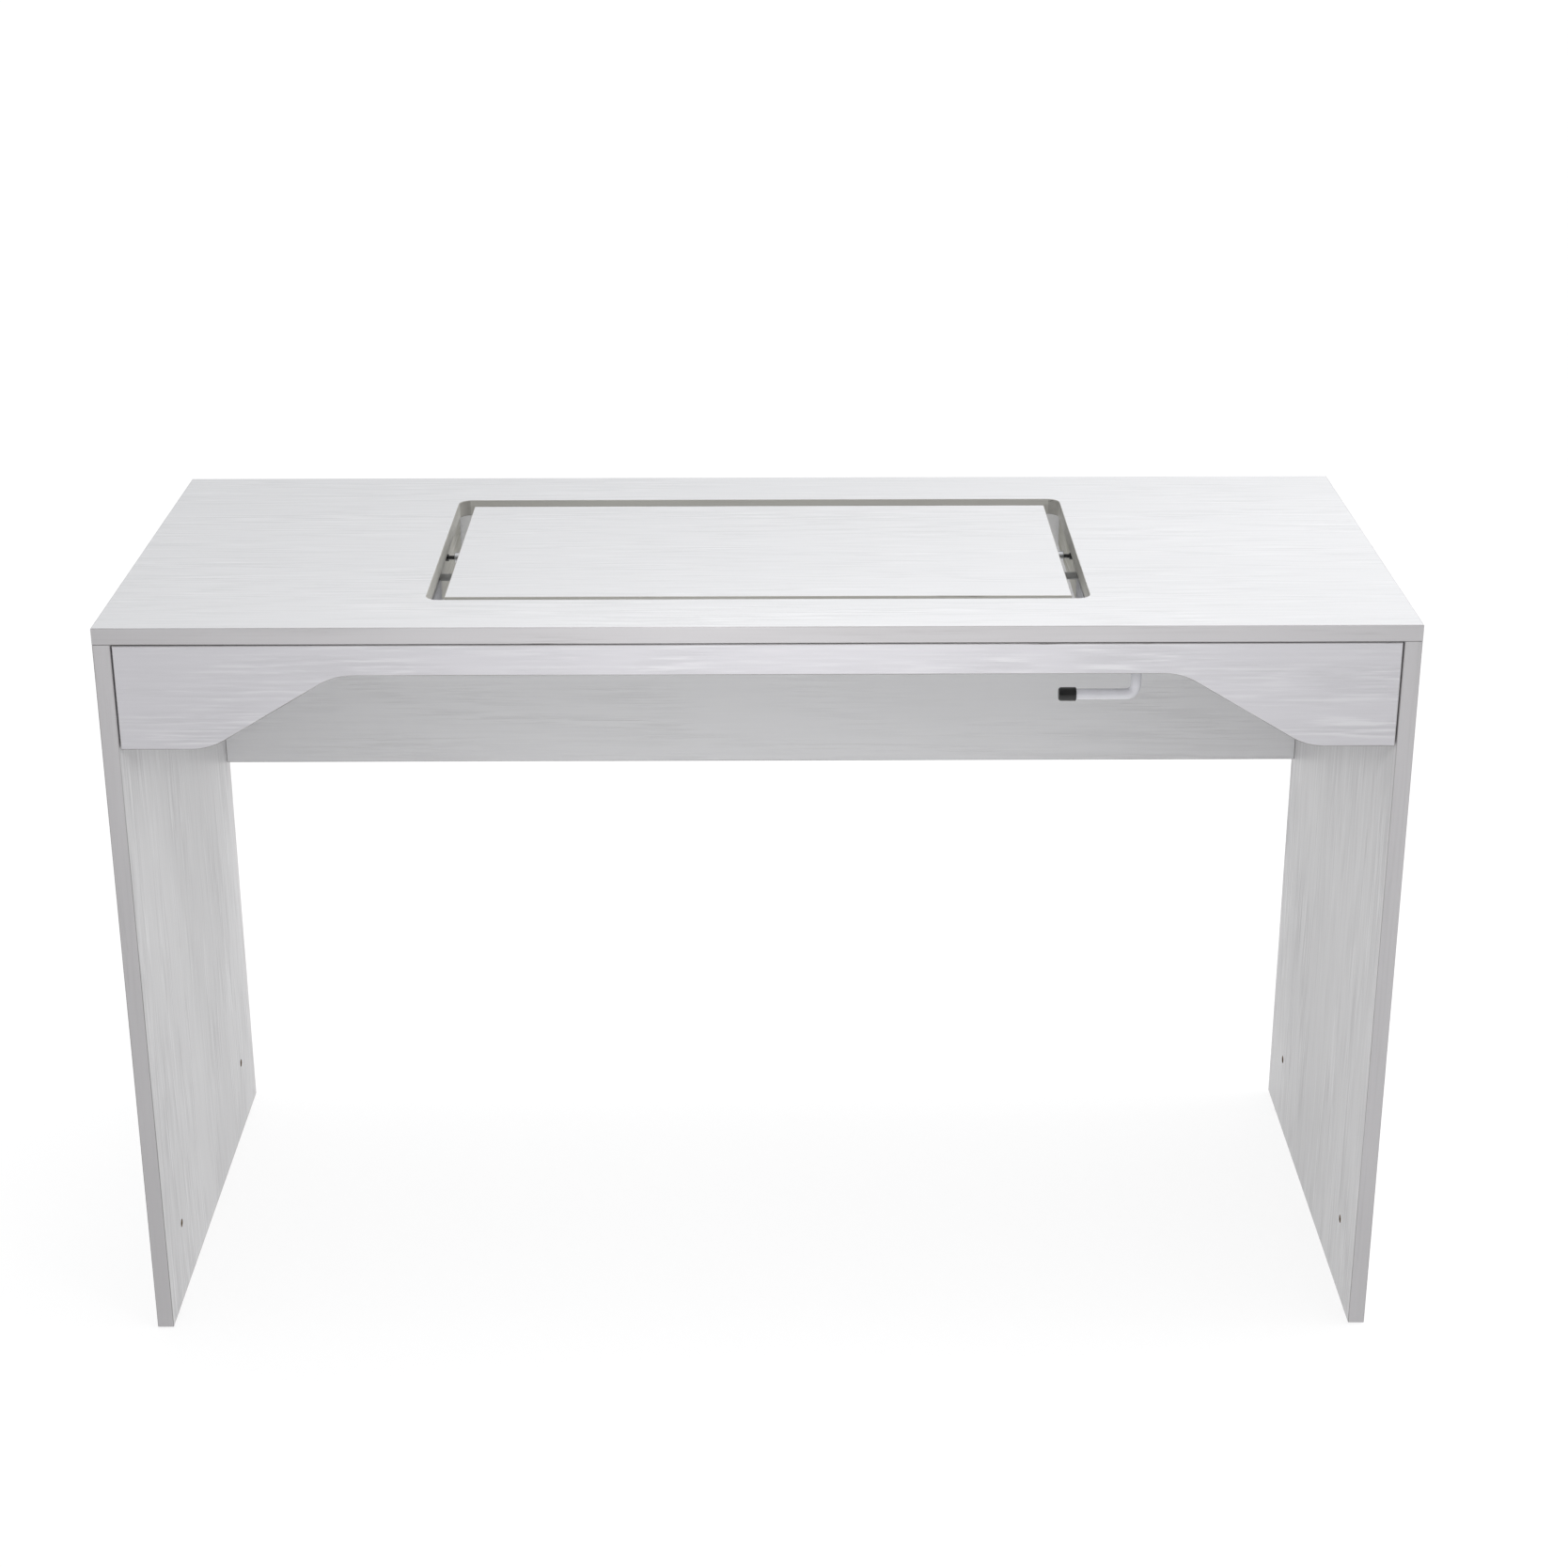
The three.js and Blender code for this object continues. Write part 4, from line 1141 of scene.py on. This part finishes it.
def add_arm(node, sign, pivot, tip, bore):
    inner, boss_outer = side_faces(node)
    span = sorted((sign * inner, sign * (inner + ARM_THICKNESS)))
    holes = [circle(pivot.y, pivot.z, M8_BORE), circle(tip.y, tip.z, bore)]
    parts = [plate([arm_outline(pivot, tip), *holes], "x", *span, STEEL_ARRIS, 2)]
    length = boss_outer - inner - ARM_THICKNESS
    if length > 0:
        profile = sleeve_profile(bore, ARM_BOSS_RADIUS, length, ARM_BOSS_FLARE, 0.4 * MM)
        start = (sign * (inner + ARM_THICKNESS), tip.y, tip.z)
        parts.append(turned(profile, start, (sign, 0, 0), hollow=True))
    stand_for(node, merged(parts), STEEL)


def add_arms():
    pairs = {
        "front": (FRONT_PIVOT, FRONT_TIP, M8_BORE, button_profile, ZINC, M8_SIZE),
        "rear": (REAR_PIVOT, REAR_TIP, M4_BORE, cap_profile, BLACK_STEEL, M4_SIZE),
    }
    for pair, (pivot, tip, bore, profile_of, finish, size) in pairs.items():
        for side, sign in SIDES.items():
            add_arm(f"{pair}_arm_{side}", sign, pivot, tip, bore)
            add_bolt(f"{pair}_shaft_bolt_{side}", Vector((-sign, 0, 0)), profile_of, finish, size)
        node = f"{pair}_cross_shaft"
        low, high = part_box(node)
        start = Vector((low.x, tip.y, tip.z))
        profile = cross_shaft_profile(SHAFT_RADIUS, bore, high.x - low.x)
        stand_for(node, turned(profile, start, (1, 0, 0)), STEEL)


ARM_REST_DEGREES = 25
SECTOR_START_DEGREES = 78
SECTOR_END_DEGREES = 162
SECTOR_RADIUS = 26 * MM
SECTOR_HUB_RADIUS = 9 * MM
SECTOR_FLANK_DEGREES = 28.6
COLLAR_BORE = 5.05 * MM
COLLAR_RADIUS = 7.1 * MM
COLLAR_LENGTH = 12 * MM
GRUB_RADIUS = 2.2 * MM
GRUB_LENGTH = 2 * MM
GRUB_PROUD = 0.8 * MM


def add_brake():
    low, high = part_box("brake_sector")
    turn = math.degrees(ARM_ANGLE) - ARM_REST_DEGREES
    start = SECTOR_START_DEGREES + turn
    end = SECTOR_END_DEGREES + turn
    pivot = FRONT_PIVOT
    outline = arc(pivot.y, pivot.z, SECTOR_RADIUS, start, end, 40)
    hub_start = end + SECTOR_FLANK_DEGREES
    hub_end = start - SECTOR_FLANK_DEGREES + 360
    outline += arc(pivot.y, pivot.z, SECTOR_HUB_RADIUS, hub_start, hub_end, 30)
    hole = circle(pivot.y, pivot.z, M8_BORE)
    stand_for("brake_sector", plate([outline, hole], "x", low.x, high.x, STEEL_ARRIS, 2), STEEL)

    low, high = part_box("brake_shoe")
    outline = round_box(low.yz, high.yz, 2 * MM)
    stand_for("brake_shoe", plate([outline], "x", low.x, high.x, 0.6 * MM), NYLON)

    middle = (low.y + high.y) / 2
    start = (LEVER_AXIS.x, middle - COLLAR_LENGTH / 2, LEVER_AXIS.z)
    rim = rectangle((COLLAR_BORE, 0), (COLLAR_RADIUS, COLLAR_LENGTH))
    collar = turned(softened(rim, 0.6 * MM), start, (0, 1, 0), hollow=True)
    add_piece("shoe_collar", collar, "lever", "plain_steel", STEEL)
    socket = hexagon(1.3 * MM)
    profile = [(0, 1.4 * MM), (socket, 1.4 * MM), (socket, 0.2 * MM), (GRUB_RADIUS - 0.4 * MM, 0)]
    profile += [(GRUB_RADIUS, 0.4 * MM), (GRUB_RADIUS, GRUB_LENGTH), (0, GRUB_LENGTH)]
    start = (LEVER_AXIS.x, middle, LEVER_AXIS.z + COLLAR_RADIUS + GRUB_PROUD)
    grub = turned(profile, start, (0, 0, -1))
    add_piece("shoe_collar_screw", grub, "lever", "zinc_steel", BLACK_STEEL)


PLATFORM_BRACKET_THICKNESS = 3 * MM
PLATFORM_SCREW_SHARES = (0.12, 0.5, 0.88)


def add_platform_brackets():
    thickness = PLATFORM_BRACKET_THICKNESS
    for side, sign in SIDES.items():
        node = f"platform_bracket_{side}"
        low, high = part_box(node)
        outer = high.x if sign > 0 else low.x
        lengths = (high.x - low.x, high.z - low.z)
        outline = angle_outline((outer, high.z), (-sign, -1), lengths, thickness, 2 * MM)
        mesh = plate([outline], "y", low.y, high.y, 0.4 * MM, 2)
        inward = Vector((-sign, 0, 0))
        depth = thickness + 1 * MM
        bores = [((outer, tip.y, tip.z), inward, SHAFT_BORE, depth) for tip in (FRONT_TIP, REAR_TIP)]
        stand_for(node, drilled(mesh, bores), ZINC)
        heads = []
        for share in PLATFORM_SCREW_SHARES:
            y = low.y + share * (high.y - low.y)
            place = (outer - sign * 0.6 * lengths[0], y, high.z - thickness)
            heads.append(screw_head(place, (0, 0, 1), *BIG_SCREW))
        add_screws(f"{node}_screws", "platform", heads)


# Release lever.

ROD_RADIUS = 5 * MM
ROD_BEND = 10 * MM
SPRING_WIRE = 0.9 * MM
SPRING_TURNS = 9
SPRING_LEG = 5 * MM


def lever_points():
    """The rod's line: the handle along X, the leg up and the shaft along Y."""
    low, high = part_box("release_lever")
    handle_z = low.z + ROD_RADIUS
    front_y = low.y + ROD_RADIUS
    corners = [
        (low.x, front_y, handle_z),
        (LEVER_AXIS.x, front_y, handle_z),
        (LEVER_AXIS.x, front_y, LEVER_AXIS.z),
        (LEVER_AXIS.x, high.y, LEVER_AXIS.z),
    ]
    return softened(corners, ROD_BEND, 14)


def add_lever():
    stand_for("release_lever", swept(lever_points(), ROD_RADIUS, 10), ENAMEL)

    low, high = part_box("lever_cap")
    length = high.x - low.x
    radius = (high.z - low.z) / 2
    bore = ROD_RADIUS + 0.05 * MM
    start = centre("lever_cap")
    start.x = low.x
    profile = [(0, 0), (radius * 0.80, 0), (radius * 0.97, 1.3 * MM), (radius, 2.6 * MM)]
    profile += [(radius, length - 0.5 * MM), (radius - 0.4 * MM, length), (bore, length)]
    profile += [(bore, 3.1 * MM), (0, 3.1 * MM)]
    stand_for("lever_cap", turned(profile, start, (1, 0, 0)), RUBBER)

    low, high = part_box("lever_spring")
    coil = (high.z - low.z) / 2 - SPRING_WIRE
    pitch = (high.y - low.y - 2 * SPRING_WIRE) / SPRING_TURNS
    steps = 28
    points = []
    for i in range(SPRING_TURNS * steps + 1):
        angle = 2 * math.pi * i / steps
        x = LEVER_AXIS.x + coil * math.cos(angle)
        z = LEVER_AXIS.z + coil * math.sin(angle)
        points.append(Vector((x, low.y + SPRING_WIRE + pitch * i / steps, z)))
    leg = Vector((0, 0, -SPRING_LEG))
    points = [points[0] + leg, *points, points[-1] + leg]
    stand_for("lever_spring", swept(points, SPRING_WIRE, 3), STEEL)


BEARING_HALF = 10 * MM
BEARING_WIDTH = 12 * MM
BEARING_FOOT = 4 * MM


def add_bearings():
    """Pillow blocks: round under the rod, with a flat foot screwed up into the top."""
    x, z = LEVER_AXIS.x, LEVER_AXIS.z
    for end in ENDS:
        node = f"lever_bearing_{end}"
        low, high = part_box(node)
        middle = (low.y + high.y) / 2
        outline = [(x + BEARING_HALF, high.z), (x - BEARING_HALF, high.z)]
        outline += arc(x, z, BEARING_HALF, 180, 360, 24)
        hole = circle(x, z, ROD_RADIUS + GAP)
        span = (middle - BEARING_WIDTH / 2, middle + BEARING_WIDTH / 2)
        block = plate([outline, hole], "y", *span, 0.6 * MM)
        foot_low = high.z - BEARING_FOOT
        foot = round_box(low.xy, high.xy, 2.5 * MM)
        stand_for(node, merged([block, plate([foot], "z", foot_low, high.z, 0.5 * MM)]), NYLON)
        reach = (high.y - low.y) / 2 - 4.6 * MM
        heads = [screw_head((x, middle + dy, foot_low), (0, 0, 1)) for dy in (-reach, reach)]
        add_screws(f"{node}_screws", "carcass", heads)


# Floor and light.

FLOOR_RADIUS = 40
SKY_LOW = 0.10
SKY_RISE = 1.62
SKY_TO_RIGHT = 0.32
SKY_TO_BACK = 0.20
SKY_DARKEST = 0.10
HAZE_GLOW = 1.06
HAZE_BOTTOM = 0.01
HAZE_TOP = 0.07
SKY_TINT = (0.985, 0.99, 1.0, 1.0)
FLOOR_GREY = (0.22, 0.22, 0.22, 1.0)
FLOOR_GLOW = 0.82

# A softbox has a place, a target, a size and a power.
SOFTBOXES = {
    "key": ((1.2, 0.1, 2.1), (0.35, 0.0, 0.7), (0.9, 0.9), 12),
    "front_fill": ((0.04, -0.72, 0.95), (0.04, -0.25, 0.72), (0.3, 0.12), 1.45),
}


def add_floor():
    mesh = bpy.data.meshes.new("floor")
    sides = 64
    angles = [2 * math.pi * i / sides for i in range(sides)]
    rim = [(FLOOR_RADIUS * math.cos(a), FLOOR_RADIUS * math.sin(a), 0) for a in angles]
    mesh.from_pydata(rim, [], [list(range(sides))])
    floor = add_object("floor", mesh)
    material, _, shader = new_material("floor")
    shader.inputs["Base Color"].default_value = FLOOR_GREY
    shader.inputs["Roughness"].default_value = 0.8
    shader.inputs["Specular IOR Level"].default_value = 0.1
    shader.inputs["Emission Color"].default_value = (1.0, 1.0, 1.0, 1.0)
    shader.inputs["Emission Strength"].default_value = FLOOR_GLOW
    mesh.materials.append(material)


def add_world():
    """A dome of soft light, brightest overhead, brighter to the right and behind, white at the horizon."""
    world = bpy.data.worlds.new("studio")
    world.use_nodes = True
    tree = world.node_tree
    background = tree.nodes["Background"]
    coordinates = tree.nodes.new("ShaderNodeTexCoord")
    direction = tree.nodes.new("ShaderNodeSeparateXYZ")
    tree.links.new(coordinates.outputs["Generated"], direction.inputs[0])
    height = direction.outputs["Z"]
    rise = calc(tree, "MULTIPLY", calc(tree, "MULTIPLY", height, height), SKY_RISE)
    glow = calc(tree, "MULTIPLY_ADD", direction.outputs["X"], SKY_TO_RIGHT, SKY_LOW)
    glow = calc(tree, "MULTIPLY_ADD", direction.outputs["Y"], SKY_TO_BACK, glow)
    haze = remap(tree, height, HAZE_BOTTOM, HAZE_TOP, HAZE_GLOW, 0.0)
    strength = calc(tree, "MAXIMUM", calc(tree, "ADD", rise, glow), SKY_DARKEST)
    tree.links.new(calc(tree, "MAXIMUM", strength, haze), background.inputs["Strength"])
    background.inputs["Color"].default_value = SKY_TINT
    SCENE.world = world


def add_softbox(name, place, target, size, power):
    data = bpy.data.lights.new(name, "AREA")
    data.shape = "RECTANGLE"
    data.size, data.size_y = size
    data.energy = power
    light = add_object(name, data)
    light.location = place
    aim = Vector(target) - Vector(place)
    light.rotation_mode = "QUATERNION"
    light.rotation_quaternion = aim.to_track_quat("-Z", "Y")
    light.visible_camera = False
    light.visible_glossy = False


def add_studio():
    SCENE.view_settings.view_transform = "Standard"
    add_world()
    add_floor()
    for name, settings in SOFTBOXES.items():
        add_softbox(name, *settings)


add_table_top()
add_side_panels()
add_back_panel()
add_apron()
add_rails()
add_platform_board()
add_cams()
add_glides()
add_brackets()
add_side_plates()
add_up_stops()
add_pivots()
add_arms()
add_brake()
add_platform_brackets()
add_lever()
add_bearings()
add_studio()
